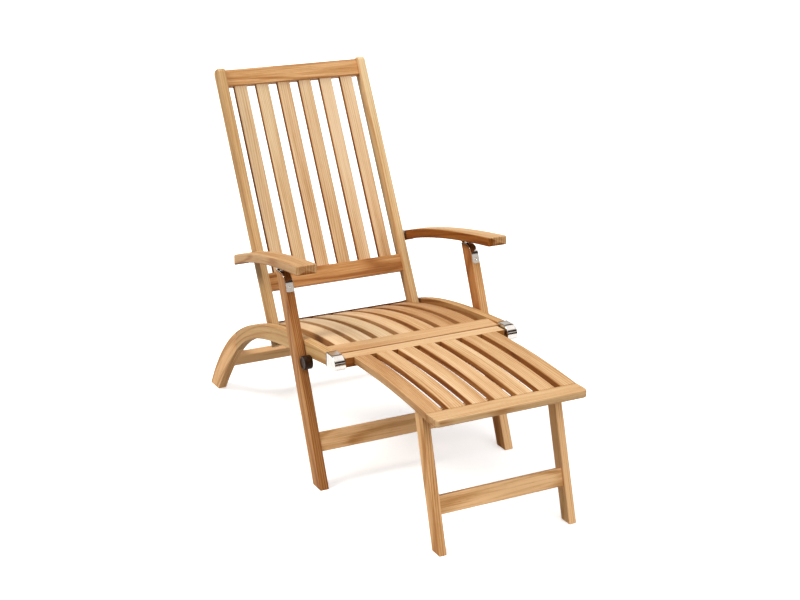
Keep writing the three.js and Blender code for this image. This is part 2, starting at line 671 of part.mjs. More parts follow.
// The arms, each with its pin to the stile and the leaf of its hinge to the post

function armOutline() {
  const top = ARM_TOP;
  const under = ARM_UNDER;
  const shape = new THREE.Shape();
  shape.moveTo(top.v0.x, top.v0.y);
  shape.quadraticCurveTo(top.v1.x, top.v1.y, top.v2.x, top.v2.y);
  shape.lineTo(under.v2.x, under.v2.y);
  shape.quadraticCurveTo(under.v1.x, under.v1.y, under.v0.x, under.v0.y);
  return shape;
}

// How far the inner side of the arm is from the middle plane at one y
function armInner(y) {
  const share = (y - ARM_FRONT.y) / (ARM_REAR.y - ARM_FRONT.y);
  return THREE.MathUtils.lerp(ARM_FRONT_END.inner, ARM_REAR_END.inner, share);
}

// The arm as seen from above, tapering to the rear, with its corners rounded
function armPlan(sign) {
  const corners = [
    [ARM_FRONT_END.inner, ARM_FRONT.y, ARM_FRONT_ROUND],
    [ARM_FRONT_END.inner + ARM_FRONT_END.width, ARM_FRONT.y, ARM_FRONT_ROUND],
    [ARM_REAR_END.inner + ARM_REAR_END.width, ARM_REAR.y, ARM_REAR_ROUND],
    [ARM_REAR_END.inner, ARM_REAR.y, ARM_REAR_ROUND],
  ].map(([x, y, round]) => ({ place: new THREE.Vector2(sign * x, y), round }));
  const towards = (from, to, distance) => to.clone().sub(from).setLength(distance).add(from);
  const shape = new THREE.Shape();
  corners.forEach(({ place, round }, index) => {
    const before = corners[(index + corners.length - 1) % corners.length].place;
    const after = corners[(index + 1) % corners.length].place;
    const start = towards(place, before, round);
    const end = towards(place, after, round);
    if (index === 0) shape.moveTo(start.x, start.y);
    else shape.lineTo(start.x, start.y);
    shape.quadraticCurveTo(place.x, place.y, end.x, end.y);
  });
  return new THREE.ExtrudeGeometry(shape, {
    depth: ARM_FRONT.z + OVERRUN, bevelEnabled: false, curveSegments: ROUND_STEPS,
  });
}

function arms() {
  const inner = armInner(ARM_PIVOT.y);
  return SIDES.map(([side, sign]) => {
    const outer = ARM_FRONT_END.inner + ARM_FRONT_END.width;
    const [x0, x1] = span(sign, ARM_REAR_END.inner - OVERRUN, outer + OVERRUN);
    const sawn = board(armOutline(), x0, x1, CURVE_STEPS);
    const hole = bore(sign, ARM_PIN.radius, inner - OVERRUN, inner + ARM_PIN.grip + FIT, ARM_PIVOT);
    return named(`arm_${side}`, cut(common(sawn, armPlan(sign)), [hole]), PALE_TEAK);
  });
}

function armPins() {
  return SIDES.map(([side, sign]) => {
    const steps = [
      { x: STILE_OUTER - ARM_PIN.grip, radius: ARM_PIN.radius },
      { x: STILE_OUTER + FIT, radius: ARM_PIN.collar },
      { x: armInner(ARM_PIVOT.y + ARM_PIN.collar) - FIT, radius: ARM_PIN.radius },
    ];
    const pin = turnedAt(sign, steps, armInner(ARM_PIVOT.y) + ARM_PIN.grip, ARM_PIVOT);
    return named(`arm_pin_${side}`, pin, STEEL);
  });
}

// The barrel of the post hinge: the arm's leaf has the middle share of its length
const STRAP_INNER = (LEG_INNER + LEG_OUTER - STRAP.width) / 2;
const LEAF_INNER = STRAP_INNER + STRAP.width * BARREL.share;
const LEAF_OUTER = STRAP_INNER + STRAP.width * (1 - BARREL.share);

function armLeaves() {
  const front = KNUCKLE.y - LEAF.length;
  const rear = KNUCKLE.y;
  const plate = new THREE.Shape();
  plate.moveTo(front, heightAt(ARM_UNDER, front) - FIT);
  plate.lineTo(front, heightAt(ARM_UNDER, front) - FIT - LEAF.sheet);
  plate.lineTo(rear, heightAt(ARM_UNDER, rear) - FIT - LEAF.sheet);
  plate.lineTo(rear, heightAt(ARM_UNDER, rear) - FIT);
  return SIDES.map(([side, sign]) => {
    const [x0, x1] = span(sign, LEAF_INNER + FIT, LEAF_OUTER - FIT);
    const barrel = turnedAt(sign, [{ x: LEAF_INNER + FIT, radius: BARREL.radius }],
      LEAF_OUTER - FIT, KNUCKLE);
    const hole = bore(sign, BARREL.pin, LEAF_INNER - OVERRUN, LEAF_OUTER + OVERRUN, KNUCKLE);
    const leaf = cut(join(board(plate, x0, x1), [barrel]), [hole]);
    return named(`arm_leaf_${side}`, leaf, STEEL);
  });
}

// The front legs

function frontLegs() {
  return SIDES.map(([side, sign]) => {
    const [x0, x1] = span(sign, LEG_INNER, LEG_OUTER);
    const leg = cut(board(legOutline(), x0, x1), [
      bore(sign, LEG_PIN.radius, LEG_INNER - OVERRUN, LEG_INNER + LEG_PIN.grip + FIT, LEG_PIVOT),
      leaned(legStretcherMortise(sign)),
    ]);
    return named(`front_leg_${side}`, leg, RED_TEAK);
  });
}

function legStretcherBox() {
  const { height, thickness, recess } = LEG_STRETCHER;
  const front = -LEG_DEPTH / 2 + recess;
  return [front, front + thickness, -height / 2, height / 2];
}

function legStretcherMortise(sign) {
  return mortise(sign, LEG_INNER, ...legStretcherBox());
}

// From level about the centre line of the legs to the lean and height of their stretcher
function leaned(geometry) {
  geometry.rotateX(-rad(LEG_LEAN));
  geometry.translate(0, legY(LEG_STRETCHER.z), LEG_STRETCHER.z);
  return geometry;
}

function legPins() {
  return SIDES.map(([side, sign]) => {
    const steps = [
      { x: RAIL_OUTER - LEG_PIN.grip, radius: LEG_PIN.radius },
      { x: RAIL_OUTER + FIT, radius: LEG_PIN.collar },
      { x: LEG_INNER - FIT, radius: LEG_PIN.radius },
    ];
    const pin = turnedAt(sign, steps, LEG_INNER + LEG_PIN.grip, LEG_PIVOT);
    return named(`leg_pin_${side}`, pin, STEEL);
  });
}

// A round stop on the outer side of the rail, which the front face of the leg leans on.
// The stub that holds it is off its centre, so that turning it sets the stop.
const STOP_PLACE = { y: legFront(STOP.z) - (STOP.radius + STOP.gap) / cos(LEG_LEAN), z: STOP.z };
const STUB_PLACE = { y: STOP_PLACE.y, z: STOP_PLACE.z + STOP_STUB.rise };

function legStops() {
  return SIDES.map(([side, sign]) => {
    const start = RAIL_OUTER + FIT;
    const wheel = turnedAt(sign, [{ x: start, radius: STOP.radius }], start + STOP.length,
      STOP_PLACE);
    const stub = turnedAt(sign, [{ x: RAIL_OUTER - STOP_STUB.grip, radius: STOP_STUB.radius }],
      start + WELD, STUB_PLACE);
    return named(`leg_stop_${side}`, join(wheel, [stub]), DARK);
  });
}

// The strap is one piece with its two thirds of the barrel and the riveted pin
function postStraps() {
  return SIDES.map(([side, sign]) => {
    const outer = STRAP_INNER + STRAP.width;
    const [x0, x1] = span(sign, STRAP_INNER, outer);
    const strip = board(strapOutline(), x0, x1, CURVE_STEPS);
    const round = (inner, end, radius) => turnedAt(sign, [{ x: inner, radius }], end, KNUCKLE);
    const gap = span(sign, LEAF_INNER, LEAF_OUTER);
    const notch = block(gap[0], gap[1], KNUCKLE.y - BARREL.radius - FIT - FIT,
      KNUCKLE.y + OVERRUN, POST_TOP, POST_TOP + OVERRUN);
    const strap = join(cut(strip, [notch]), [
      round(STRAP_INNER, LEAF_INNER, BARREL.radius),
      round(LEAF_OUTER, outer, BARREL.radius),
      round(STRAP_INNER, outer, BARREL.pin),
    ]);
    return named(`post_strap_${side}`, strap, STEEL);
  });
}

// The footrest

// Half the length of its rear rail, which turns between the caps of the side rails
const FOOTREST_HALF = RAIL_INNER - FIT - CAP_SHEET - FIT - FOOTREST_COLLAR - FIT;

const underFootrest = (y) => heightAt(FOOTREST_CURVE, y) - SLAT_THICKNESS;

// The pivot of the footrest legs lies just under the stiles
const FOOT_LEG_PIVOT_Y = FOOTREST_HEAD_Y + FOOT_LEG_SETBACK;
const FOOT_LEG_PIVOT = {
  y: FOOT_LEG_PIVOT_Y,
  z: underFootrest(FOOT_LEG_PIVOT_Y) - FOOT_LEG_PIVOT_DROP,
};

// The centre line of the leg, which runs through the pivot
const footLegY = (z) => FOOT_LEG_PIVOT.y - (FOOT_LEG_PIVOT.z - z) * tan(FOOT_LEG_LEAN);

function footrestRearRail() {
  const { height, round, ease } = FOOTREST_REAR_RAIL;
  const front = FOOTREST_BACK_Y;
  const rear = FOOTREST_REAR_Y;
  const low = FOOTREST_TOP - height;
  const shape = new THREE.Shape();
  shape.moveTo(front, low);
  shape.lineTo(rear - round, low);
  shape.absarc(rear - round, low + round, round, -Math.PI / 2, 0, false);
  shape.lineTo(rear, FOOTREST_TOP - ease);
  shape.absarc(rear - ease, FOOTREST_TOP - ease, ease, 0, Math.PI / 2, false);
  shape.lineTo(front, FOOTREST_TOP);
  const slots = slatPlaces(SLAT_COUNT, SLAT_SPACING).map((x, index) => tongue(x, SLAT_WIDTH,
    front - OVERRUN, front + TONGUE.length + FIT,
    FOOTREST_TOP - footrestThickness(index) / 2, FIT));
  const bores = SIDES.map(([, sign]) => bore(sign, FOOTREST_PIN.radius,
    FOOTREST_HALF - FOOTREST_PIN.grip - FIT, FOOTREST_HALF + OVERRUN, FOOTREST_PIVOT));
  const bar = cut(board(shape, -FOOTREST_HALF, FOOTREST_HALF), [...slots, ...bores]);
  return named('footrest_rear_rail', bar, PALE_TEAK);
}

function footrestFrontRail() {
  const { depth, height, top, fall, round } = FOOTREST_FRONT_RAIL;
  const rear = FOOTREST_HEAD_Y - FIT;
  const front = FOOTREST_HEAD_Y - depth;
  const half = slatPlaces(SLAT_COUNT, SLAT_SPACING)[SLAT_COUNT - 1] + SLAT_WIDTH / 2;
  const shape = new THREE.Shape();
  shape.moveTo(rear, top);
  shape.lineTo(front + round, top - fall);
  shape.absarc(front + round, top - fall - round, round, Math.PI / 2, Math.PI, false);
  shape.lineTo(front, top - height);
  shape.lineTo(rear, top - height);
  const slots = slatPlaces(SLAT_COUNT, SLAT_SPACING).map((x, index) => tongue(x, SLAT_WIDTH,
    FOOTREST_HEAD_Y - TONGUE.length - FIT, FOOTREST_HEAD_Y + OVERRUN,
    top - footrestThickness(index) / 2, FIT));
  return named('footrest_front_rail', cut(board(shape, -half, half), slots), PALE_TEAK);
}

// The ear under the inner edge of a footrest stile that its leg is pinned to
function footrestEar(sign) {
  const [x0, x1] = span(sign, EAR_INNER, EAR_INNER + EAR.thickness);
  const front = FOOT_LEG_PIVOT.y - EAR.length / 2;
  const rear = FOOT_LEG_PIVOT.y + EAR.length / 2;
  const top = Math.max(underFootrest(front), underFootrest(rear)) + WELD;
  return block(x0, x1, front, rear, FOOT_LEG_PIVOT.z - EAR.below, top);
}

// The two stiles and five slats between the rails of the footrest
function footrestSlats() {
  const places = slatPlaces(SLAT_COUNT, SLAT_SPACING);
  return places.map((x, index) => {
    const thickness = footrestThickness(index);
    const outline = stripOutline(FOOTREST_CURVE, thickness);
    const body = board(outline, x - SLAT_WIDTH / 2, x + SLAT_WIDTH / 2, CURVE_STEPS);
    const trimmed = cut(body, [block(x - SLAT_WIDTH, x + SLAT_WIDTH, FOOTREST_BACK_Y - FIT,
      FOOTREST_BACK_Y + OVERRUN, 0, FOOTREST_TOP + OVERRUN)]);
    const tongues = [
      tongue(x, SLAT_WIDTH, FOOTREST_HEAD_Y - TONGUE.length, FOOTREST_HEAD_Y + WELD,
        FOOTREST_FRONT_RAIL.top - thickness / 2, 0),
      tongue(x, SLAT_WIDTH, FOOTREST_BACK_Y - WELD - FIT, FOOTREST_BACK_Y + TONGUE.length,
        FOOTREST_TOP - thickness / 2, 0),
    ];
    if (thickness !== SLAT_THICKNESS) return named(`footrest_slat_${index}`, join(trimmed, tongues), PALE_TEAK);
    const sign = Math.sign(x);
    const whole = join(trimmed, [...tongues, footrestEar(sign)]);
    const pierced = cut(whole, [bore(sign, FOOT_LEG_ROD.radius, 0, FOOT_LEG_OUTER, FOOT_LEG_PIVOT)]);
    return named(`footrest_stile_${sign < 0 ? 'left' : 'right'}`, pierced, PALE_TEAK);
  });
}

function footrestPins() {
  return SIDES.map(([side, sign]) => {
    const steps = [
      { x: FOOTREST_HALF - FOOTREST_PIN.grip, radius: FOOTREST_PIN.radius },
      { x: FOOTREST_HALF + FIT, radius: FOOTREST_PIN.collar },
      { x: FOOTREST_HALF + FIT + FOOTREST_COLLAR, radius: FOOTREST_PIN.radius },
    ];
    const pin = turnedAt(sign, steps, RAIL_INNER + FOOTREST_PIN.grip, FOOTREST_PIVOT);
    return named(`footrest_pin_${side}`, pin, STEEL);
  });
}

// The footrest legs

function footLegOutline() {
  const half = FOOT_LEG_DEPTH / 2;
  const halfRun = half / cos(FOOT_LEG_LEAN);
  const { y, z } = FOOT_LEG_PIVOT;
  const lean = rad(FOOT_LEG_LEAN);
  const shape = new THREE.Shape();
  shape.moveTo(footLegY(0) - halfRun, 0);
  shape.lineTo(footLegY(0) + halfRun, 0);
  shape.absarc(y, z, half, -lean, Math.PI - lean, false);
  return shape;
}

function footLegStretcherBox() {
  const { height, thickness, recess } = FOOT_LEG_STRETCHER;
  const front = -FOOT_LEG_DEPTH / 2 + recess;
  return [front, front + thickness, -height / 2, height / 2];
}

const FOOT_LEG_TENON = 10;

function footLegLeaned(geometry) {
  geometry.rotateX(-rad(FOOT_LEG_LEAN));
  const { z } = FOOT_LEG_STRETCHER;
  geometry.translate(0, footLegY(z), z);
  return geometry;
}

function footrestLegs() {
  const legs = SIDES.map(([side, sign]) => {
    const [x0, x1] = span(sign, FOOT_LEG_INNER, FOOT_LEG_OUTER);
    const leg = cut(board(footLegOutline(), x0, x1, CURVE_STEPS), [
      bore(sign, FOOT_LEG_ROD.radius, FOOT_LEG_INNER - OVERRUN,
        FOOT_LEG_INNER + FOOT_LEG_ROD.grip + FIT, FOOT_LEG_PIVOT),
      footLegLeaned(mortise(sign, FOOT_LEG_INNER, ...footLegStretcherBox(), FOOT_LEG_TENON)),
    ]);
    return named(`footrest_leg_${side}`, leg, RED_TEAK);
  });
  const bar = crossBar(FOOT_LEG_INNER, ...footLegStretcherBox(), FOOT_LEG_TENON);
  const reach = FOOT_LEG_INNER + FOOT_LEG_ROD.grip;
  const rod = turnedAt(1, [{ x: -reach, radius: FOOT_LEG_ROD.radius }], reach, FOOT_LEG_PIVOT);
  return [
    ...legs,
    named('footrest_leg_stretcher', footLegLeaned(bar), RED_TEAK),
    named('footrest_leg_rod', rod, STEEL),
  ];
}

// The whole chair

const chair = new THREE.Group();
const legStretcher = leaned(crossBar(LEG_INNER, ...legStretcherBox()));
chair.add(
  ...sideRails(), ...rearLegs(), ...seatCrossBars(), ...seatSlats(), ...railCaps(),
  backrest(),
  ...arms(), ...armPins(), ...armLeaves(),
  ...frontLegs(), named('front_leg_stretcher', legStretcher, RED_TEAK),
  ...legPins(), ...legStops(), ...postStraps(),
  footrestRearRail(), footrestFrontRail(), ...footrestSlats(), ...footrestPins(),
  ...footrestLegs(),
);

export default chair;
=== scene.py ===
# %% [markdown]
# # A folding steamer deck chair in teak
#
# The chair is already there as plain solids, packed as one frame. This lesson gives every
# board its eased edges and its own grain, and the fittings their polish. Each wooden board
# is made anew as a surface over two parameters, because only then does it know which way
# its grain runs, also round a bend. All lengths below are millimetres until the very last
# step of a mesh, because a joiner thinks in them.

# %% Load the frame
import json
import math
import bpy
import numpy as np
from mathutils import Matrix, Vector


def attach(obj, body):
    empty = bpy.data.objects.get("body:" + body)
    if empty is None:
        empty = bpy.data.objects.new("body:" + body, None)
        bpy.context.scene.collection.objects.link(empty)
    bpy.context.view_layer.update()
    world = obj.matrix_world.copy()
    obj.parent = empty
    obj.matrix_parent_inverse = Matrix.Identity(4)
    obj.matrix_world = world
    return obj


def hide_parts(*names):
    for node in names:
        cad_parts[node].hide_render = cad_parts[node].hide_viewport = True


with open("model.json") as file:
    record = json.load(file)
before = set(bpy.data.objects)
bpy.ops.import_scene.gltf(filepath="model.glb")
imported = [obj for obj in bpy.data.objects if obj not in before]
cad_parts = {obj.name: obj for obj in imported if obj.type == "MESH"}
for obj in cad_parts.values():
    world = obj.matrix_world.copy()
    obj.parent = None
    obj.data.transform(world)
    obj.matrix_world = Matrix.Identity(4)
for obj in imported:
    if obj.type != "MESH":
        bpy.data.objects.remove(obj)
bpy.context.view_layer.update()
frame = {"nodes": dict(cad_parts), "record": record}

MM = 0.001
body_of_node = {
    node: body
    for body, nodes in frame["record"]["behaviour"]["bodies"].items()
    for node in nodes
}

# %% [markdown]
# ## The camera
#
# The camera was solved from the feet, the seat and the pitch of the slats in the
# photograph. It stands to the left of the front and a little above. Its axes are worked
# out from three angles: round the chair, above the floor, and a very small roll.

# %% Place the camera
AROUND, ABOVE, ROLL = (math.radians(a) for a in (-27.3816, 18.2939, -0.1091))
CAMERA_PLACE = Vector((-1.840664, -3.640235, 1.779282))
SENSOR_WIDTH, LENS = 36, 69.757

back = Vector((math.sin(AROUND) * math.cos(ABOVE), -math.cos(AROUND) * math.cos(ABOVE),
               math.sin(ABOVE)))
right = Vector((math.cos(AROUND), math.sin(AROUND), 0))
up = back.cross(right)
rolled_right = math.cos(ROLL) * right + math.sin(ROLL) * up
rolled_up = math.cos(ROLL) * up - math.sin(ROLL) * right
camera = bpy.data.objects.new("camera", bpy.data.cameras.new("camera"))
camera.data.sensor_width = SENSOR_WIDTH
camera.data.lens = LENS
turn = Matrix((rolled_right, rolled_up, back)).transposed().to_4x4()
camera.matrix_world = Matrix.Translation(CAMERA_PLACE) @ turn
bpy.context.scene.collection.objects.link(camera)
bpy.context.scene.camera = camera
print("camera", [round(c, 3) for c in CAMERA_PLACE], "lens", LENS)

# %% [markdown]
# ## Light and floor
#
# A photographer lights such a chair with large soft boxes. Two suns with wide discs do
# the same here: their light is even over the whole floor, so the ground stays white out
# to the edge of the picture. The sky is a plain gradient, much paler overhead than at the
# horizon, and its lowest stop is the warm light that comes back up from below. Polished
# steel shows its room as bands, so what a mirror sees is a second gradient: a dark studio
# with one long bright window and a bright ceiling. Behind the floor's far edge hangs white
# paper, which is seen but gives no light.

# %% Helpers for nodes
def add_node(tree, kind, inputs=None, **settings):
    """One shader node. An input is a number or colour, or the output of another node."""
    node = tree.nodes.new(kind)
    for name, value in settings.items():
        setattr(node, name, value)
    for name, value in (inputs or {}).items():
        if isinstance(value, bpy.types.NodeSocket):
            tree.links.new(value, node.inputs[name])
        else:
            node.inputs[name].default_value = value
    return node


def fill_ramp(node, stops):
    """Sets the stops of a colour ramp, given as (place, grey or colour)."""
    elements = node.color_ramp.elements
    while len(elements) < len(stops):
        elements.new(0.5)
    for element, (place, colour) in zip(elements, stops):
        element.position = place
        element.color = (*colour, 1) if isinstance(colour, tuple) else (colour,) * 3 + (1,)
    return node


def mix_colours(tree, share, first, second, blend="MIX"):
    """First where the share is zero, second (or with MULTIPLY their product) at one."""
    mixed = add_node(tree, "ShaderNodeMix", data_type="RGBA", blend_type=blend)
    tree.links.new(share, mixed.inputs["Factor"])
    tree.links.new(first, mixed.inputs["A"])
    if isinstance(second, bpy.types.NodeSocket):
        tree.links.new(second, mixed.inputs["B"])
    else:
        mixed.inputs["B"].default_value = (*second, 1)
    return mixed.outputs["Result"]


def new_finish(name):
    """A material with its node tree and its shader."""
    finish = bpy.data.materials.new(name)
    finish.use_nodes = True
    return finish, finish.node_tree, finish.node_tree.nodes["Principled BSDF"]


# %% Sky
SKY_STRENGTH = 1.6
FROM_BELOW = (0.18, 0.145, 0.085)
WARM_BLACK, WARM_GREY = (0.03, 0.02, 0.012), (0.04, 0.03, 0.02)
WINDOW, CEILING, SKIRTING = (0.62, 0.58, 0.54), (1.0, 0.96, 0.92), (0.20, 0.15, 0.10)
world = bpy.data.worlds.new("studio")
world.use_nodes = True
bpy.context.scene.world = world
sky = world.node_tree
sky.nodes.clear()
direction = add_node(sky, "ShaderNodeTexCoord").outputs["Generated"]
height = add_node(sky, "ShaderNodeSeparateXYZ", {"Vector": direction}).outputs["Z"]
lit = fill_ramp(add_node(sky, "ShaderNodeValToRGB", {"Fac": height}),
                [(0.0, FROM_BELOW), (0.02, 0.03), (0.45, 0.06), (0.62, 0.51), (1.0, 0.56)])
mirrored_room = fill_ramp(
    add_node(sky, "ShaderNodeValToRGB", {"Fac": height}),
    [(0.0, SKIRTING), (0.03, WARM_BLACK), (0.28, WARM_GREY), (0.32, WINDOW), (0.39, WINDOW),
     (0.43, WARM_BLACK), (0.66, WARM_GREY), (0.76, CEILING), (1.0, 1.0)])
path = add_node(sky, "ShaderNodeLightPath").outputs
seen = mix_colours(sky, path["Is Glossy Ray"], lit.outputs["Color"],
                   mirrored_room.outputs["Color"])
seen = mix_colours(sky, path["Is Camera Ray"], seen, (1.0, 1.0, 1.0))
light = add_node(sky, "ShaderNodeBackground", {"Color": seen, "Strength": SKY_STRENGTH})
add_node(sky, "ShaderNodeOutputWorld", {"Surface": light.outputs["Background"]})

# %% Two soft suns
def add_sun(name, around, above, strength, width):
    """A sun that shines from an angle round the chair and a height, in degrees."""
    lamp = bpy.data.objects.new(name, bpy.data.lights.new(name, "SUN"))
    lamp.data.energy = strength
    lamp.data.angle = math.radians(width)
    a, e = math.radians(around), math.radians(above)
    aim = Vector((math.sin(a) * math.cos(e), -math.cos(a) * math.cos(e), math.sin(e)))
    lamp.rotation_mode = "QUATERNION"
    lamp.rotation_quaternion = aim.to_track_quat("Z", "Y")
    bpy.context.scene.collection.objects.link(lamp)
    return lamp


key = add_sun("key_light", around=-102, above=48, strength=2.1, width=24)
key.data.color = (1.0, 0.94, 0.83)
fill = add_sun("fill_light", around=5, above=27, strength=1.45, width=55)
fill.visible_glossy = False
bpy.context.scene.view_settings.view_transform = "Standard"

# %% Floor
def floor_finish():
    """Matt white paper: a pale grey with a very faint unevenness, and a little glow."""
    finish, tree, shader = new_finish("floor_paper")
    place = add_node(tree, "ShaderNodeTexCoord").outputs["Object"]
    cloud = add_node(tree, "ShaderNodeTexNoise", {"Vector": place, "Scale": 0.8})
    tint = fill_ramp(add_node(tree, "ShaderNodeValToRGB", {"Fac": cloud.outputs["Fac"]}),
                     [(0.3, 0.93), (0.7, 0.96)])
    tree.links.new(tint.outputs["Color"], shader.inputs["Base Color"])
    shader.inputs["Roughness"].default_value = 0.9
    shader.inputs["Specular IOR Level"].default_value = 0.1
    tree.links.new(tint.outputs["Color"], shader.inputs["Emission Color"])
    shader.inputs["Emission Strength"].default_value = 0.5
    return finish


FLOOR_HALF = 400
corners = [(x * FLOOR_HALF, y * FLOOR_HALF, 0) for x, y in ((-1, -1), (1, -1), (1, 1), (-1, 1))]
floor_mesh = bpy.data.meshes.new("floor")
floor_mesh.from_pydata(corners, [], [(0, 1, 2, 3)])
floor_mesh.materials.append(floor_finish())
floor = bpy.data.objects.new("floor", floor_mesh)
bpy.context.scene.collection.objects.link(floor)
floor.visible_diffuse = False
print("floor", 2 * FLOOR_HALF, "m wide")

# %% [markdown]
# ## Teak
#
# Teak is honey coloured, with fine dark fibres along the board, wider bands of lighter
# and darker growth, arching growth lines where the saw ran across them, and short dark
# pores. Every board comes from another part of the tree, so each has its own tone. The
# boards carry their own coordinates in the attribute grain: along the board, across it
# and through it, in metres. Noise that is stretched far along the first of the three
# gives all of this, and it bends with a bent board. The attribute tone makes the board, or
# one end of it, lighter or darker; where it runs from one value at one end to another at
# the other, it paints light and shade along the board. The attribute end is one on end
# grain. Edge is one on the eased edges, where hands polish the wood. Shade is painted
# shade: it darkens narrow sides between boards, inner faces and undersides, where shade falls.

# %% Teak finish
# The colour that painted shade multiplies the wood by, on narrow sides, inner faces and
# undersides.
PAINTED_SHADE_COLOUR = (0.55, 0.33, 0.12)
RAMP_PLACES = (0.05, 0.36, 0.64, 0.95)
# How far each feature moves the wood along the ramp of browns, whose whole run is one.
MIDDLE, FIBRES, BANDS, GROWTH, PORES = 0.62, 0.62, 0.74, -0.20, -0.13
TONE, END_GRAIN, EDGE, SHADE = 0.20, -0.10, 0.05, -0.22
# Growth lines: radians per metre across the board, how far they wander, how thin they are.
GROWTH_PITCH, GROWTH_WANDER, GROWTH_THINNESS = 520.0, 27.0, 8.0
ROUGHNESS, ROUGHER_FIBRES, ROUGHER_SHADE, SMOOTHER_EDGE = 0.45, 0.22, 0.25, -0.06


def teak_finish(name, colours, warmth, figure=1.0):
    """A wood shader. Nearly all variation is one number that runs along four browns.

    warmth tints patches of each board, and figure is how strongly the fibres and the
    growth lines show.
    """
    finish, tree, shader = new_finish(name)
    grain = add_node(tree, "ShaderNodeAttribute", attribute_name="grain").outputs["Vector"]
    tone, end, edge, shade = (
        add_node(tree, "ShaderNodeAttribute", attribute_name=attribute).outputs["Fac"]
        for attribute in ("tone", "end", "edge", "shade"))

    def stretched(along, across, detail, roughness=0.5, distortion=0.0):
        """Noise with that many features per metre along and across the board."""
        scaled = add_node(tree, "ShaderNodeMapping", {
            "Vector": grain, "Scale": (along, across, across)})
        return add_node(tree, "ShaderNodeTexNoise", {
            "Vector": scaled.outputs["Vector"], "Scale": 1.0, "Detail": detail,
            "Roughness": roughness, "Distortion": distortion}).outputs["Fac"]

    def combine(operation, first, second=0.0, third=0.0):
        """One step of arithmetic on numbers or outputs; MULTIPLY_ADD adds the third."""
        sums = add_node(tree, "ShaderNodeMath", operation=operation)
        for socket, value in zip(sums.inputs, (first, second, third)):
            if isinstance(value, bpy.types.NodeSocket):
                tree.links.new(value, socket)
            else:
                socket.default_value = value
        return sums.outputs["Value"]

    fibres = stretched(7, 380, 5, 0.65)
    bands = stretched(1.6, 42, 3, 0.5, 0.4)
    across = add_node(tree, "ShaderNodeSeparateXYZ", {"Vector": grain}).outputs["Y"]
    wander = combine("MULTIPLY", stretched(1.3, 9, 1), GROWTH_WANDER)
    phase = combine("MULTIPLY_ADD", across, GROWTH_PITCH, wander)
    growth = combine("POWER", combine("ABSOLUTE", combine("SINE", phase)), GROWTH_THINNESS)
    pores = fill_ramp(add_node(tree, "ShaderNodeValToRGB", {"Fac": stretched(38, 1300, 1)}),
                      [(0.60, 0.0), (0.72, 1.0)]).outputs["Color"]

    # Noise lies round a half, so half its share is taken off again.
    value = MIDDLE - FIBRES * figure / 2 - BANDS / 2
    for feature, share in ((fibres, FIBRES * figure), (bands, BANDS), (growth, GROWTH * figure),
                           (pores, PORES), (tone, TONE), (end, END_GRAIN), (edge, EDGE),
                           (shade, SHADE)):
        value = combine("MULTIPLY_ADD", feature, share, value)
    browns = fill_ramp(add_node(tree, "ShaderNodeValToRGB", {"Fac": value}),
                       list(zip(RAMP_PLACES, colours))).outputs["Color"]
    patches = combine("MULTIPLY_ADD", stretched(0.09, 0.09, 0), 2.2, -0.25)
    patches = combine("MULTIPLY_ADD", stretched(0.9, 5, 2), 0.5, patches)
    warm = mix_colours(tree, patches, browns, warmth, "MULTIPLY")
    # Painted shade: the shade attribute multiplies the wood by the shade colour, and SHADE above
    # also moves it down the browns.
    painted_shaded = mix_colours(tree, shade, warm, PAINTED_SHADE_COLOUR, "MULTIPLY")
    tree.links.new(painted_shaded, shader.inputs["Base Color"])

    matt = ROUGHNESS
    for feature, share in ((fibres, ROUGHER_FIBRES), (shade, ROUGHER_SHADE),
                           (edge, SMOOTHER_EDGE)):
        matt = combine("MULTIPLY_ADD", feature, share, matt)
    tree.links.new(matt, shader.inputs["Roughness"])
    bump = add_node(tree, "ShaderNodeBump", {
        "Strength": 0.25, "Distance": 0.0004,
        "Height": combine("MULTIPLY_ADD", pores, -0.5, fibres)})
    tree.links.new(bump.outputs["Normal"], shader.inputs["Normal"])
    shader.inputs["Specular IOR Level"].default_value = 0.2
    return finish


BROWNS = ((0.195, 0.080, 0.022), (0.43, 0.222, 0.083), (0.66, 0.45, 0.235), (0.84, 0.67, 0.44))
DEEP_BROWNS = ((0.158, 0.054, 0.013), (0.373, 0.157, 0.048), (0.56, 0.30, 0.118),
               (0.90, 0.60, 0.33))
finishes = {
    "pale_teak": teak_finish("pale_teak_boards", BROWNS, (1.0, 0.93, 0.92)),
    "teak": teak_finish("honey_teak_boards", BROWNS, (0.985, 0.92, 0.82)),
    "red_teak": teak_finish("red_teak_boards", DEEP_BROWNS, (1.0, 0.93, 0.87), figure=1.35),
}
print("teak finishes", sorted(finishes))

# %% [markdown]
# ## Steel and the dark stops
#
# The caps, straps and pins are polished stainless steel. A mirror needs little colour of
# its own: what makes it look real is that its roughness isn't the same everywhere, from
# wiping and fingers. The stops are a dark, slightly shiny moulded rubber.

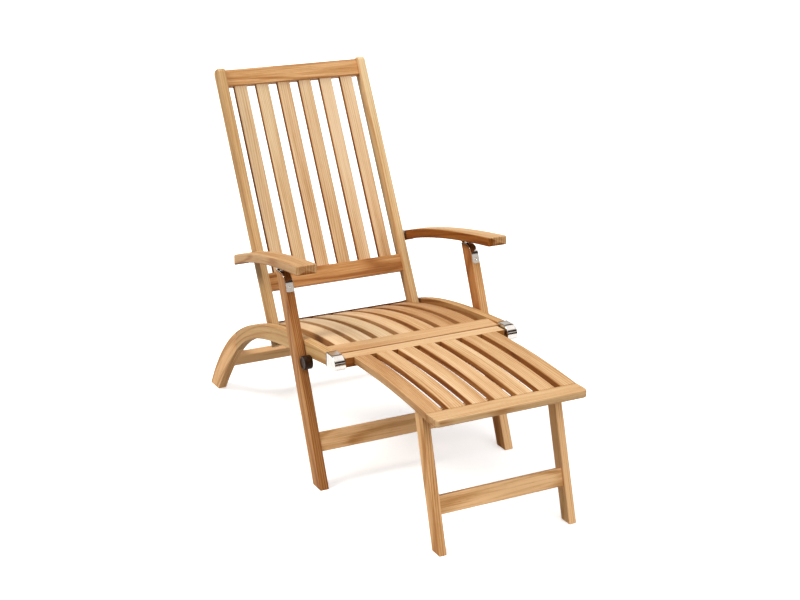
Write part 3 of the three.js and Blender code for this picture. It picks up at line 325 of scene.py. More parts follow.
# %% Steel and rubber finishes
def worn_finish(name, dark, pale, smooth, rough, scale, relief, metal=0.0, specular=0.5):
    """A surface whose colour and roughness both drift with one cloud of noise."""
    finish, tree, shader = new_finish(name)
    place = add_node(tree, "ShaderNodeTexCoord").outputs["Object"]
    cloud = add_node(tree, "ShaderNodeTexNoise", {
        "Vector": place, "Scale": scale, "Detail": 5.0, "Roughness": 0.6}).outputs["Fac"]
    fine = add_node(tree, "ShaderNodeTexNoise", {
        "Vector": place, "Scale": scale * 14, "Detail": 3.0}).outputs["Fac"]
    tint = fill_ramp(add_node(tree, "ShaderNodeValToRGB", {"Fac": cloud}),
                     [(0.3, dark), (0.7, pale)])
    tree.links.new(tint.outputs["Color"], shader.inputs["Base Color"])
    wiped = add_node(tree, "ShaderNodeMapRange", {
        "Value": cloud, "From Min": 0.3, "From Max": 0.7, "To Min": smooth, "To Max": rough})
    tree.links.new(wiped.outputs["Result"], shader.inputs["Roughness"])
    bump = add_node(tree, "ShaderNodeBump", {
        "Strength": relief, "Distance": 0.0002, "Height": fine})
    tree.links.new(bump.outputs["Normal"], shader.inputs["Normal"])
    shader.inputs["Metallic"].default_value = metal
    shader.inputs["Specular IOR Level"].default_value = specular
    return finish


finishes["steel"] = worn_finish("polished_steel", (0.50, 0.48, 0.46), (0.65, 0.62, 0.59),
                                smooth=0.05, rough=0.14, scale=60, relief=0.04, metal=1.0)
finishes["dark_stop"] = worn_finish("dark_rubber", (0.012, 0.004, 0.001), (0.045, 0.018, 0.006),
                                    smooth=0.25, rough=0.45, scale=90, relief=0.2,
                                    specular=0.1)

# %% [markdown]
# ## Lines
#
# The boards follow a few lines in the plane across the chair: straight cuts, arcs and
# Bezier curves, as a template in the workshop does. A line is an array of points, and a
# board needs an upper and a lower line with the same number of points.

# %% Curves as arrays
def bezier(handles, count=200):
    """B(t) is the sum over k of n over k, times t^k (1 - t)^(n - k), times handle k."""
    handles = np.asarray(handles, float)
    order = len(handles) - 1
    t = np.linspace(0, 1, count)[:, None]
    shares = [math.comb(order, k) * t**k * (1 - t)**(order - k) for k in range(order + 1)]
    return sum(share * handle for share, handle in zip(shares, handles))


def arc(centre, radius, start, stop, count=24):
    """Centre plus radius times (cos, sin) of an angle from start to stop in degrees."""
    angle = np.radians(np.linspace(start, stop, count))
    return np.asarray(centre) + radius * np.stack([np.cos(angle), np.sin(angle)], 1)


def run_length(points):
    """How far along the line each point is: the running sum of the steps' lengths."""
    steps = np.linalg.norm(np.diff(points, axis=0), axis=1)
    return np.concatenate([[0], np.cumsum(steps)])


def interpolate(at, places, values):
    """Every column of values read off at new places."""
    values = np.asarray(values, float)
    columns = values.reshape(len(values), -1).T
    return np.stack([np.interp(at, places, column) for column in columns], 1)


def spaced(points, count):
    """The same line with count points at even distances."""
    length = run_length(points)
    return interpolate(np.linspace(0, length[-1], count), length, points)


def part_of(line, low, high):
    """The stretch of a line whose first coordinate is between low and high, ends exact."""
    length = run_length(line)
    ends = np.interp([low, high], line[:, 0], length)
    return interpolate(np.linspace(*ends, 120), length, line)


# %% [markdown]
# ## A board
#
# A real board has all its edges eased with a small round. So a board here is a rounded
# rectangle carried along a line. Close to either end the rectangle gets a little smaller,
# which eases the end as well, and a fan of triangles closes it. The alternative is a
# sharp block with a bevel modifier, but the grid also hands every point its place along,
# across and through the board, and that is what the grain is drawn with.

# %% Sweep a rounded rectangle
CORNER_STEPS = 4
END_STEPS = 3
THINNEST = 0.4
ROUND_AT_MOST, ROUND_AT_LEAST = 0.45, 0.15
seed_of_board = iter(range(1, 1000))


def end_stations(ease):
    """Distance from an end and shrinkage there: a quarter circle of radius ease."""
    angle = np.linspace(0, math.pi / 2, END_STEPS + 1)
    return ease * (1 - np.cos(angle)), ease * (1 - np.sin(angle))


def ring_offsets(widths, heights, radii):
    """Points round each rectangle: corner centre plus radius times (cos, sin).

    radii has one column for each corner: plus across and up, minus across and up, minus
    across and down, plus across and down.
    """
    radii = np.repeat(radii, CORNER_STEPS + 1, axis=1)
    quarter = np.linspace(0, math.pi / 2, CORNER_STEPS + 1)
    angle = (quarter + np.arange(4)[:, None] * math.pi / 2).ravel()
    across_sign = np.repeat([1, -1, -1, 1], CORNER_STEPS + 1)
    height_sign = np.repeat([1, 1, -1, -1], CORNER_STEPS + 1)
    across = across_sign * (widths[:, None] / 2 - radii) + radii * np.cos(angle)
    tall = height_sign * (heights[:, None] / 2 - radii) + radii * np.sin(angle)
    return across, tall, angle


def painted_face_shade(angle, painted_shade_faces):
    """Each face's painted shade times how much a point of the ring looks that way.

    The faces are those towards plus across, plus up, minus across and minus up.
    """
    ways = np.stack([np.cos(angle), np.sin(angle), -np.cos(angle), -np.sin(angle)])
    return np.clip(ways, 0, 1).T @ np.asarray(painted_shade_faces, float)


def grid_faces(rows, columns, flip, closed=(True, True)):
    """Quads between neighbouring rings, and a fan to a middle point at a closed end."""
    row, column = np.meshgrid(np.arange(rows - 1), np.arange(columns), indexing="ij")
    beside = (column + 1) % columns
    quads = np.stack([row * columns + column, row * columns + beside,
                      (row + 1) * columns + beside, (row + 1) * columns + column], -1)
    ring = np.arange(columns)
    after = (ring + 1) % columns
    last = (rows - 1) * columns
    near = np.stack([after, ring, np.full(columns, rows * columns)], -1)
    far = np.stack([last + ring, last + after, np.full(columns, rows * columns + 1)], -1)
    step = -1 if flip else 1
    faces = quads.reshape(-1, 4)[:, ::step].tolist()
    fans = [fan[:, ::step].tolist() for fan, there in zip((near, far), closed) if there]
    return sum(fans, faces)


def put_attribute(mesh, name, values):
    """Stores one number or one vector per vertex, for the shader to read."""
    values = np.asarray(values, np.float32)
    kind, field = ("FLOAT_VECTOR", "vector") if values.ndim == 2 else ("FLOAT", "value")
    attribute = mesh.attributes.new(name, kind, "POINT")
    attribute.data.foreach_set(field, values.ravel())


def finish_mesh(name, points, faces, finish, sheet=0):
    """A smooth mesh in metres, with weighted normals so that flats stay flat.

    A sheet thickness makes the surface the outer face of a sheet of that thickness.
    """
    mesh = bpy.data.meshes.new(name)
    mesh.from_pydata((np.asarray(points) * MM).tolist(), [], faces)
    mesh.polygons.foreach_set("use_smooth", np.ones(len(mesh.polygons), bool))
    mesh.materials.append(finishes[finish])
    piece = bpy.data.objects.new(name, mesh)
    bpy.context.scene.collection.objects.link(piece)
    if sheet:
        thick = piece.modifiers.new("sheet", "SOLIDIFY")
        thick.thickness = sheet * MM
        thick.offset = -1
    weighted = piece.modifiers.new("weighted_normals", "WEIGHTED_NORMAL")
    weighted.weight = 50
    weighted.keep_sharp = False
    return piece


def sweep(name, centres, ups, side, widths, heights, ease, ends, finish, tone,
          painted_shade_faces=(0, 0, 0, 0)):
    """Point (i, j) = centre_i + across_ij * side + tall_ij * up_i, round a rectangle.

    tone is one number, or a pair for the two ends with an even change between them.
    """
    length = run_length(centres)
    near_place, near_small = end_stations(ends[0])
    far_place, far_small = end_stations(ends[1])
    inner = length[(length > ends[0] * 1.01) & (length < length[-1] - ends[1] * 1.01)]
    at = np.concatenate([near_place, inner, (length[-1] - far_place)[::-1]])
    small = np.concatenate([near_small, 0 * inner, far_small[::-1]])
    centre = interpolate(at, length, centres)
    up_there = interpolate(at, length, ups)
    up_there /= np.linalg.norm(up_there, axis=1)[:, None]
    width = np.maximum(interpolate(at, length, widths)[:, 0] - 2 * small, THINNEST)
    tall = np.maximum(interpolate(at, length, heights)[:, 0] - 2 * small, THINNEST)
    eases = np.broadcast_to(np.asarray(ease, float), 4)
    room = ROUND_AT_MOST * np.minimum(width, tall)[:, None]
    radius = np.minimum(np.maximum(eases - small[:, None], ROUND_AT_LEAST * eases), room)
    a, b, angle = ring_offsets(width, tall, radius)
    side = np.asarray(side, float)
    rings = centre[:, None] + a[..., None] * side + b[..., None] * up_there[:, None]
    points = np.concatenate([rings.reshape(-1, 3), centre[[0, -1]]])

    along = np.broadcast_to(at[:, None], a.shape)
    grain = np.stack([along, a, b], -1).reshape(-1, 3)
    grain = np.concatenate([grain, [[0, 0, 0], [at[-1], 0, 0]]]) * MM
    shift = np.random.default_rng(next(seed_of_board)).uniform(0, 40, 3)
    at_end = np.zeros(a.shape)
    at_end[[0, -1]] = 1
    on_edge = np.broadcast_to(np.abs(np.sin(2 * angle)), a.shape)
    # Painted shade on the faces that are chosen to be painted darker.
    in_shade = np.broadcast_to(painted_face_shade(angle, painted_shade_faces), a.shape)
    flip = np.dot(np.cross(side, up_there[0]), centre[END_STEPS] - centre[0]) < 0
    faces = grid_faces(*a.shape, flip)
    piece = finish_mesh(name, points, faces, finish)
    put_attribute(piece.data, "grain", grain + shift)
    tones = np.interp(at, [0, at[-1]], np.broadcast_to(tone, 2))
    tones = np.append(np.repeat(tones, a.shape[1]), tones[[0, -1]])
    put_attribute(piece.data, "tone", tones)
    put_attribute(piece.data, "end", np.append(at_end.ravel(), [1, 1]))
    put_attribute(piece.data, "edge", np.append(on_edge.ravel(), [0, 0]))
    put_attribute(piece.data, "shade", np.append(in_shade.ravel(), [0, 0]))
    return piece


# %% Put a board on its body
def stand_for(piece, node):
    """The piece rides where its solid does, and the solid isn't shown."""
    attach(piece, body_of_node[node])
    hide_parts(node)
    return piece


def sawn(node, upper, lower, sides, slot, tone=0.0, ease=2.5, ends=(2.0, 2.0),
         painted_shade_faces=(0, 0, 0, 0)):
    """A board sawn to two lines in the plane across the chair, between two sides.

    The centre is halfway between the lines, the height is their distance, and sides gives
    the two distances from the middle plane, either fixed or one pair for every point.
    """
    upper, lower = np.asarray(upper, float), np.asarray(lower, float)
    sides = np.broadcast_to(np.asarray(sides, float), (len(upper), 2))
    gap = upper - lower
    tall = np.linalg.norm(gap, axis=1)
    middle = (upper + lower) / 2
    centres = np.column_stack([sides.mean(1), middle])
    ups = np.column_stack([np.zeros(len(gap)), gap / tall[:, None]])
    piece = sweep("board_" + node, centres, ups, (1, 0, 0), np.abs(sides[:, 1] - sides[:, 0]),
                  tall, ease, ends, slot, tone, painted_shade_faces)
    return stand_for(piece, node)


def leaned(points, lean, place):
    """Points drawn upright in y and z, leaned back by some degrees and moved to a place."""
    c, s = math.cos(math.radians(lean)), math.sin(math.radians(lean))
    points = np.asarray(points, float)
    turned = np.stack([points[..., 0] * c + points[..., 1] * s,
                       points[..., 1] * c - points[..., 0] * s], -1)
    return turned + np.asarray(place)


def bar(node, half, y, z, slot, lean=0.0, place=(0, 0), tone=0.0, ease=2.5, ends=(0.8, 0.8),
        painted_shade_faces=(0, 0, 0, 0)):
    """A straight bar across the chair, half long to either side, between two y and two z."""
    corner = leaned([(y[0], z[0]), (y[1], z[1])], lean, place)
    upright = leaned([(0, 0), (0, 1)], lean, (0, 0))
    up_way = np.array([0, *upright[1]])
    across_way = np.array([0, up_way[2], -up_way[1]])
    centre = np.array([0, *corner.mean(0)])
    centres = centre + np.array([[-half, 0, 0], [half, 0, 0]])
    piece = sweep("board_" + node, centres, np.array([up_way, up_way]), across_way,
                  np.full(2, y[1] - y[0]), np.full(2, z[1] - z[0]), ease, ends, slot, tone,
                  painted_shade_faces)
    return stand_for(piece, node)


# Each side's name, its sign across the chair, and whether it is the left or the right.
SIDES = (("left", -1, True, False), ("right", 1, False, True))
# Pieces that touch in the real chair lie this far apart.
CLEARANCE = 0.3


def mirrored(sign, inner, outer):
    """The two sides of a piece at these distances from the middle plane."""
    return (-outer, -inner) if sign < 0 else (inner, outer)


# %% [markdown]
# ## Side rails and rear legs
#
# Each side of the seat frame is an arch: from the nose, which a steel cap covers, over
# the seat and down to the floor behind. No tree grows a board that wide and that curved,
# so it is two boards, and their upright joint shows as a fine line. Top and underside are
# cubic curves. The rail gets the stretch in front of the joint and the leg the rest.

# %% Side rails and rear legs
RAIL = (246, 272)
NOSE_Y, NOSE_TOP, NOSE_DEPTH, NOSE_ROUND, NOSE_RISE, HEEL_Y = -251.5, 386, 36, 24, 4, -198
REAR_FOOT, REAR_HEEL = 685.5, 620.5
JOINT_Y = 454.5
TOP_HANDLE_SHARES = (0.45, 0.937), (0.78, 0.827)
UNDER_HANDLE_SHARES = (0.647, 0.803), (0.715, 0.836)
RAIL_STATIONS, LEG_STATIONS = 44, 26


def side_line(start_z, stop_y, handles):
    """A cubic curve from the heel of the nose down to the floor."""
    run = stop_y - HEEL_Y
    middle = [(HEEL_Y + a * run, b * start_z) for a, b in handles]
    return bezier([(HEEL_Y, start_z), *middle, (stop_y, 0)])


side_top = side_line(NOSE_TOP, REAR_FOOT, TOP_HANDLE_SHARES)
side_under = side_line(NOSE_TOP - NOSE_DEPTH, REAR_HEEL, UNDER_HANDLE_SHARES)
nose_arc = arc((NOSE_Y + NOSE_ROUND, NOSE_TOP - NOSE_ROUND), NOSE_ROUND, start=176, stop=90,
               count=12)


def nose_bottom(y):
    """The underside of the nose, which rises a little towards the front."""
    return NOSE_TOP - NOSE_DEPTH + NOSE_RISE * (HEEL_Y - y) / (HEEL_Y - NOSE_Y)


nose_under = np.column_stack([nose_arc[:, 0], nose_bottom(nose_arc[:, 0])])
joint_front, joint_rear = JOINT_Y - CLEARANCE / 2, JOINT_Y + CLEARANCE / 2
arch_top = spaced(part_of(side_top, HEEL_Y, joint_front), RAIL_STATIONS)
arch_under = spaced(part_of(side_under, HEEL_Y, joint_front), RAIL_STATIONS)
rail_top, rail_under = np.vstack([nose_arc, arch_top]), np.vstack([nose_under, arch_under])
leg_top = spaced(part_of(side_top, joint_rear, REAR_FOOT), LEG_STATIONS)
leg_under = spaced(part_of(side_under, joint_rear, REAR_HEEL), LEG_STATIONS)

for side, sign, on_left, on_right in SIDES:
    # Painted shade on the inner face and the underside of each rail.
    sawn(f"side_rail_{side}", rail_top, rail_under, mirrored(sign, *RAIL), "teak",
         tone=-0.3 - 0.35 * sign, ends=(2, 0.6),
         painted_shade_faces=(0.5 * on_left, 0, 0.5 * on_right, 0.2))
    sawn(f"rear_leg_{side}", leg_top, leg_under, mirrored(sign, *RAIL), "red_teak",
         tone=1.45, ends=(0.6, 2))
print("side rails run", round(run_length(rail_top)[-1]), "mm along their top")

# %% [markdown]
# ## The seat
#
# Seven long slats run from the front rail, over a bearer, down to the rear batten, and are
# tongued into both ends. Each slat is a strip of even thickness under one quadratic curve.
# Their tones differ, as boards from one pile do.

# %% Seat slats and cross bars
SLAT_WIDTH, SLAT_THICKNESS, SLAT_STEP = 46.6, 20, 63.6
SEAT_FRONT, SEAT_REAR = (-138.2, 376), (302, 303)
SEAT_BEND_SHARES = (0.51, 0.07)
seat_bend = SEAT_FRONT + np.multiply(SEAT_BEND_SHARES, np.subtract(SEAT_REAR, SEAT_FRONT))
seat_line = spaced(bezier([SEAT_FRONT, seat_bend, SEAT_REAR]), 20)
BETWEEN_RAILS = RAIL[0] - CLEARANCE
SLATS_HALF = 3 * SLAT_STEP + SLAT_WIDTH / 2
BEARER, BEARER_HEIGHT = (172.5, 197.5), 30
BATTEN_DEPTH, BATTEN_HEIGHT, BATTEN_RISE = 14, 23, 1
# The section of a bar is its two ends along y and its two ends along z.
SEAT_RAIL_SECTION = (-197.5, -138.5), (354, 380)
REAR_STRETCHER_SECTION = (-10, 10), (-31.5, 31.5)
REAR_STRETCHER = {"lean": 45.6 - 90, "place": (531.5, 125)}
SEAT_TONES = (1.2, 1.6, 0.9, 0.7, -0.25, -0.6, -0.5)

for index, tone in enumerate(SEAT_TONES):
    x = (index - 3) * SLAT_STEP
    # Painted shade on both narrow sides and the underside of each slat.
    sawn(f"seat_slat_{index + 1}", seat_line, seat_line - (0, SLAT_THICKNESS),
         (x - SLAT_WIDTH / 2, x + SLAT_WIDTH / 2), "pale_teak", tone=tone, ends=(0.3, 0.3),
         painted_shade_faces=(0.6, 0, 0.6, 0.5))

# Painted shade on the front, the rear and the underside of the rail.
bar("seat_front_rail", BETWEEN_RAILS, *SEAT_RAIL_SECTION, "pale_teak", tone=-0.1,
    ease=(0.6, 3, 3, 2), painted_shade_faces=(0.7, 0, 0.7, 0.5))
slat_there = np.interp(BEARER[1], seat_line[:, 0], seat_line[:, 1])
bearer_top = slat_there - SLAT_THICKNESS - CLEARANCE
bar("seat_bearer", BETWEEN_RAILS, BEARER, (bearer_top - BEARER_HEIGHT, bearer_top), "teak",
    tone=-0.4)
batten_y, batten_top = SEAT_REAR[0] + CLEARANCE, SEAT_REAR[1] + BATTEN_RISE
# The low tone and the strong painted shade on its top and front paint the batten dark, for the
# shade it lies in behind the slats' ends.
bar("seat_rear_batten", SLATS_HALF, (batten_y, batten_y + BATTEN_DEPTH),
    (batten_top - BATTEN_HEIGHT, batten_top), "teak", tone=-1.2, ease=(6.3, 1, 2, 2),
    ends=(2, 2), painted_shade_faces=(0.3, 1.3, 1.5, 0.3))
bar("rear_stretcher", BETWEEN_RAILS, *REAR_STRETCHER_SECTION, "red_teak", tone=2.3,
    **REAR_STRETCHER)
print("seat line falls", round(seat_line[0, 1] - seat_line[-1, 1], 1), "mm")

# %% [markdown]
# ## The front legs
#
# A front leg is one straight board that leans back and goes on above the side rail as the
# post under the arm. It is cut level at the floor and at the top, where its front corner
# is rounded for the steel strap. So it is swept with level slices: at every height the
# board reaches from its front line to its rear line.

# %% Front legs and their stretcher
LEG = (274, 300)
LEG_LEAN, LEG_DEPTH, LEG_FLOOR_Y = 21.9, 44.5, -179.5
POST_TOP, POST_ROUND = 543, 34
STRETCHER_Z, STRETCHER_SECTION = 111, ((-20.25, -0.25), (-26, 26))
lean_turn = math.radians(LEG_LEAN)
half_run = LEG_DEPTH / math.cos(lean_turn) / 2


def leg_centre(z):
    """Where the centre line of the leaning leg is at that height."""
    return LEG_FLOOR_Y + z * math.tan(lean_turn)


arc_z = POST_TOP - POST_ROUND
arc_y = leg_centre(arc_z) - half_run + POST_ROUND / math.cos(lean_turn)
post_arc = arc((arc_y, arc_z), POST_ROUND, start=180 - LEG_LEAN, stop=91, count=12)
low_z = np.linspace(0, post_arc[0, 1], 30)[:-1]
leg_front = np.vstack([np.column_stack([leg_centre(low_z) - half_run, low_z]), post_arc])
leg_rear = np.column_stack([leg_centre(leg_front[:, 1]) + half_run, leg_front[:, 1]])

for side, sign, on_left, on_right in SIDES:
    # Painted shade on the front of the left leg and the inner face of the right one. The tone is
    # higher at the floor than at the top, which paints light low down, as the floor gives it
    # back.
    sawn(f"front_leg_{side}", leg_front, leg_rear, mirrored(sign, *LEG), "red_teak",
         tone=(1.15 + 1.1 * sign, 0.1 + 0.4 * sign),
         painted_shade_faces=(0, 0.3 * on_left, 0.5 * on_right, 0))
# The tone rises towards the right end, which paints light there.
bar("front_leg_stretcher", LEG[0] - CLEARANCE, *STRETCHER_SECTION, "red_teak",
    lean=LEG_LEAN, place=(leg_centre(STRETCHER_Z), STRETCHER_Z), tone=(1.3, 2.4))

# %% [markdown]
# ## The backrest
#
# Two stiles, a top rail and a bottom rail, and six slats tenoned into the rails. It is
# drawn upright about the pivot and then leaned back, as the real one turns. The rails and
# slats sit behind the front faces of the stiles, and the slats behind those of the rails.

# %% Backrest
BACK = {"lean": 27.7, "place": (262.5, 300)}
STILE = (216, 238)
STILE_DEPTH, STILE_FOOT, STILE_TOP, STILE_ROUND = 42.2, -49, 784, 14
TOP_RAIL, BOTTOM_RAIL = (730.2, 779.4), (111.7, 163.3)
TOP_RAIL_DEPTH, BOTTOM_RAIL_DEPTH, RAIL_RECESS, SLAT_RECESS = 26, 27, 14.2, 7
BACK_SLAT_STEP, BACK_SLAT_WIDTH, BACK_SLAT_THICKNESS = 68.6, 40, 13
half_depth = STILE_DEPTH / 2
tip_arc = arc((half_depth - STILE_ROUND, STILE_TOP - STILE_ROUND), STILE_ROUND, 0, 82, 8)
straight = np.column_stack([np.full(40, half_depth),
                            np.linspace(STILE_FOOT, STILE_TOP - STILE_ROUND, 40)])[:-1]
stile_rear = np.vstack([straight, tip_arc])
stile_front = stile_rear * (-1, 1)
RAIL_FRONT = -half_depth + RAIL_RECESS
SLAT_FRONT = RAIL_FRONT + SLAT_RECESS
BETWEEN_STILES = STILE[0] - CLEARANCE

for side, sign, on_left, on_right in SIDES:
    # Painted shade on the front of the left stile and on the face towards minus x of both. The
    # right stile's tone rises strongly towards its top, which paints the stronger light on the
    # top of the back.
    sawn(f"stile_{side}", leaned(stile_front, **BACK), leaned(stile_rear, **BACK),
         mirrored(sign, *STILE), "teak", tone=(0.3 - 0.2 * sign, 1.25 + 0.7 * sign),
         painted_shade_faces=(0, 0.2 * on_left, 0.2, 0))
bar("back_top_rail", BETWEEN_STILES, (RAIL_FRONT, RAIL_FRONT + TOP_RAIL_DEPTH), TOP_RAIL,
    "red_teak", tone=0.35, **BACK)
bar("back_bottom_rail", BETWEEN_STILES, (RAIL_FRONT, RAIL_FRONT + BOTTOM_RAIL_DEPTH),
    BOTTOM_RAIL, "red_teak", tone=-0.2, **BACK)

# Each slat's tone at its foot and at its top. The top is mostly lighter, which paints the light
# that is stronger on the top of the back.
BACK_TONES = ((0.5, 1.5), (0.45, 1.25), (0.75, 0.65), (0.1, 1.3), (0.6, 2.0), (-0.2, 2.0))
half_slat = BACK_SLAT_THICKNESS / 2
slat_ends = leaned([(SLAT_FRONT + half_slat, BOTTOM_RAIL[1] + CLEARANCE),
                    (SLAT_FRONT + half_slat, TOP_RAIL[0] - CLEARANCE)], **BACK)
half_across = leaned([(half_slat, 0)], BACK["lean"], (0, 0))
for index, tone in enumerate(BACK_TONES):
    x = (index - 2.5) * BACK_SLAT_STEP
    # Painted shade on both narrow sides of each slat, most on the side towards minus x.
    sawn(f"back_slat_{index + 1}", slat_ends - half_across, slat_ends + half_across,
         (x - BACK_SLAT_WIDTH / 2, x + BACK_SLAT_WIDTH / 2), "pale_teak", tone=tone, ease=2,
         ends=(0.6, 0.6), painted_shade_faces=(0.6, 0, 1.4, 0))

# %% [markdown]
# ## The arms
#
# An arm is a bent board that is wide over the post and narrow at the stile, with rounded
# corners seen from above. Top and underside are quadratic curves. The two sides follow
# the taper, and within a corner's reach d of an end each comes in by r (1 - sqrt(d / r))^2,
# which is the quadratic curve of that corner.

# %% Arms
ARM_FRONT, ARM_BEND, ARM_REAR = (-118, 604.5), (208, 567), (398, 496)
ARM_INNER, ARM_OUTER = (258, 244), (317.7, 292)
ARM_THICKNESS, ARM_SWELL, ARM_FRONT_ROUND, ARM_REAR_ROUND = 25.6, 5, 7, 9
arm_top = bezier([ARM_FRONT, ARM_BEND, ARM_REAR], 400)
arm_under = bezier([(y, z - ARM_THICKNESS - swell) for (y, z), swell in
                    zip((ARM_FRONT, ARM_BEND, ARM_REAR), (0, 0, ARM_SWELL))], 400)
arm_share = (1 - np.cos(np.linspace(0, math.pi, 48))) / 2
arm_y = ARM_FRONT[0] + arm_share * (ARM_REAR[0] - ARM_FRONT[0])
arm_upper = np.column_stack([arm_y, np.interp(arm_y, arm_top[:, 0], arm_top[:, 1])])
arm_lower = np.column_stack([arm_y, np.interp(arm_y, arm_under[:, 0], arm_under[:, 1])])


def corner_pull(distance, radius):
    """How far a side comes in near an end, for a quadratic corner of that radius."""
    return radius * (1 - np.sqrt(np.clip(distance / radius, 0, 1)))**2


pull = (corner_pull(arm_y - ARM_FRONT[0], ARM_FRONT_ROUND)
        + corner_pull(ARM_REAR[0] - arm_y, ARM_REAR_ROUND))
arm_inner = ARM_INNER[0] + arm_share * (ARM_INNER[1] - ARM_INNER[0]) + pull
arm_outer = ARM_OUTER[0] + arm_share * (ARM_OUTER[1] - ARM_OUTER[0]) - pull

for side, sign, on_left, on_right in SIDES:
    sides = np.stack(mirrored(sign, arm_inner, arm_outer), 1)
    # Painted shade on the undersides of the arms and on the inner side of the right arm.
    sawn(f"arm_{side}", arm_upper, arm_lower, sides, "pale_teak", tone=0.05, ease=3.5,
         ends=(2.5, 2.5), painted_shade_faces=(0, 0, 1.0 * on_right, 0.8))

# %% [markdown]
# ## The footrest
#
# Two stiles and five slats run from the rear rail, which hangs between the noses, to the
# front rail. They bulge a little upwards, so that a leg rests on them without an edge.
# Under each stile is an ear for the rod of the footrest legs.

# %% Footrest
FOOT_FRONT, FOOT_BEND, FOOT_REAR = (-631.5, 364.5), (-430, 386), (-241.8, 379)
FOOT_SLAT_THICKNESS = 16
FOOT_RAIL_HALF, FOOT_RAIL_SECTION = 240, ((-241.5, -200.5), (353, 379))
# How dark the narrow sides of the footrest's boards are painted, for the shade in the gaps.
GAP_SHADE = 0.9
foot_line = spaced(bezier([FOOT_FRONT, FOOT_BEND, FOOT_REAR]), 20)
FOOT_NAMES = ("stile_left", "slat_1", "slat_2", "slat_3", "slat_4", "slat_5", "stile_right")
FOOT_TONES = (-0.35, 0.05, 0.35, 0.45, 0.4, -0.05, -0.35)

for index, (name, tone) in enumerate(zip(FOOT_NAMES, FOOT_TONES)):
    x = (index - 3) * SLAT_STEP
    thickness = FOOT_SLAT_THICKNESS if name.startswith("slat") else SLAT_THICKNESS
    # Painted shade on the narrow sides in the gaps and on the underside of each board.
    sawn(f"footrest_{name}", foot_line, foot_line - (0, thickness),
         (x - SLAT_WIDTH / 2, x + SLAT_WIDTH / 2), "pale_teak", tone=tone, ends=(0.3, 0.3),
         painted_shade_faces=(GAP_SHADE * (index < 6), 0, GAP_SHADE * (index > 0), 0.5))
# Painted shade on the front, the rear and the underside of the rail.
bar("footrest_rear_rail", FOOT_RAIL_HALF, *FOOT_RAIL_SECTION, "pale_teak", tone=0.5,
    ease=(4, 0.6, 2, 8), ends=(2, 2), painted_shade_faces=(0.7, 0, 0.9, 0.5))

# %% The front rail of the footrest, with its front corners rounded
END_RAIL_FRONT, END_RAIL_REAR, END_RAIL, END_RAIL_ROUND = -685.5, -631.8, (344.5, 364), 14
rail_x = SLATS_HALF * np.sin(np.linspace(-math.pi / 2, math.pi / 2, 60))
rail_front = END_RAIL_FRONT + corner_pull(SLATS_HALF - np.abs(rail_x), END_RAIL_ROUND)
level = np.full(len(rail_x), np.mean(END_RAIL))
rail_middle = np.column_stack([rail_x, (rail_front + END_RAIL_REAR) / 2, level])
# Painted shade on the rear face and the underside of the rail.
front_rail = sweep("board_footrest_front_rail", rail_middle, np.tile([0, 0, 1], (60, 1)),
                   (0, 1, 0), END_RAIL_REAR - rail_front, np.full(60, np.ptp(END_RAIL)),
                   (0.6, 5, 4, 2), (1.5, 1.5), "pale_teak", 0.1, painted_shade_faces=(0.5, 0, 0, 0.4))
stand_for(front_rail, "footrest_front_rail")

# %% Footrest legs
FOOT_LEG = (178, 199)
FOOT_LEAN, FOOT_DEPTH = 15.6, 37.4
FOOT_STRETCHER_Z, FOOT_STRETCHER_SECTION = 114, ((-12.7, 5.3), (-23.5, 23.5))
FOOT_PIVOT = np.array([-565.45, 330.311])
foot_turn = math.radians(FOOT_LEAN)
foot_run = FOOT_DEPTH / math.cos(foot_turn) / 2


def foot_centre(z):
    """Where the centre line of the footrest leg is at that height."""
    return FOOT_PIVOT[0] - (FOOT_PIVOT[1] - z) * math.tan(foot_turn)


tip_front = arc(FOOT_PIVOT, FOOT_DEPTH / 2, 180 - FOOT_LEAN, 94, 12)
tip_rear = arc(FOOT_PIVOT, FOOT_DEPTH / 2, -FOOT_LEAN, 86, 24)
heights = np.concatenate([np.linspace(0, tip_rear[0, 1], 20)[:-1],
                          np.linspace(tip_rear[0, 1], tip_front[-1, 1], 14)])
front_line = np.vstack([[foot_centre(0) - foot_run, 0], tip_front])
rear_line = np.vstack([[foot_centre(0) + foot_run, 0], tip_rear])
slices_front = np.column_stack([np.interp(heights, front_line[:, 1], front_line[:, 0]), heights])
slices_rear = np.column_stack([np.interp(heights, rear_line[:, 1], rear_line[:, 0]), heights])

for side, sign, *_ in SIDES:
    # The high tone paints the light that the floor gives back, and its rise towards the top
    # paints light on the upper part.
    sawn(f"footrest_leg_{side}", slices_front, slices_rear, mirrored(sign, *FOOT_LEG),
         "red_teak", tone=(1.4 + 0.5 * sign, 1.85 + 0.5 * sign), ends=(2, 1))
# The tone rises towards the right end, which paints light there.
bar("footrest_leg_stretcher", FOOT_LEG[0] - CLEARANCE, *FOOT_STRETCHER_SECTION, "red_teak",
    lean=FOOT_LEAN, place=(foot_centre(FOOT_STRETCHER_Z), FOOT_STRETCHER_Z), tone=(1.1, 1.8))

# %% [markdown]
# ## The steel caps
#
# A cap is bent and welded from sheet, polished all over and open behind, where it is
# pushed over the nose. Its outer face is a rounded rectangle carried from the open end to
# the front, while the height runs down the two rounds of the nose: large on top, small
# below. Solidify then gives the sheet its thickness on the inside. The rounds matter most
# here, because they spread the dark and the bright parts of the room into bands.

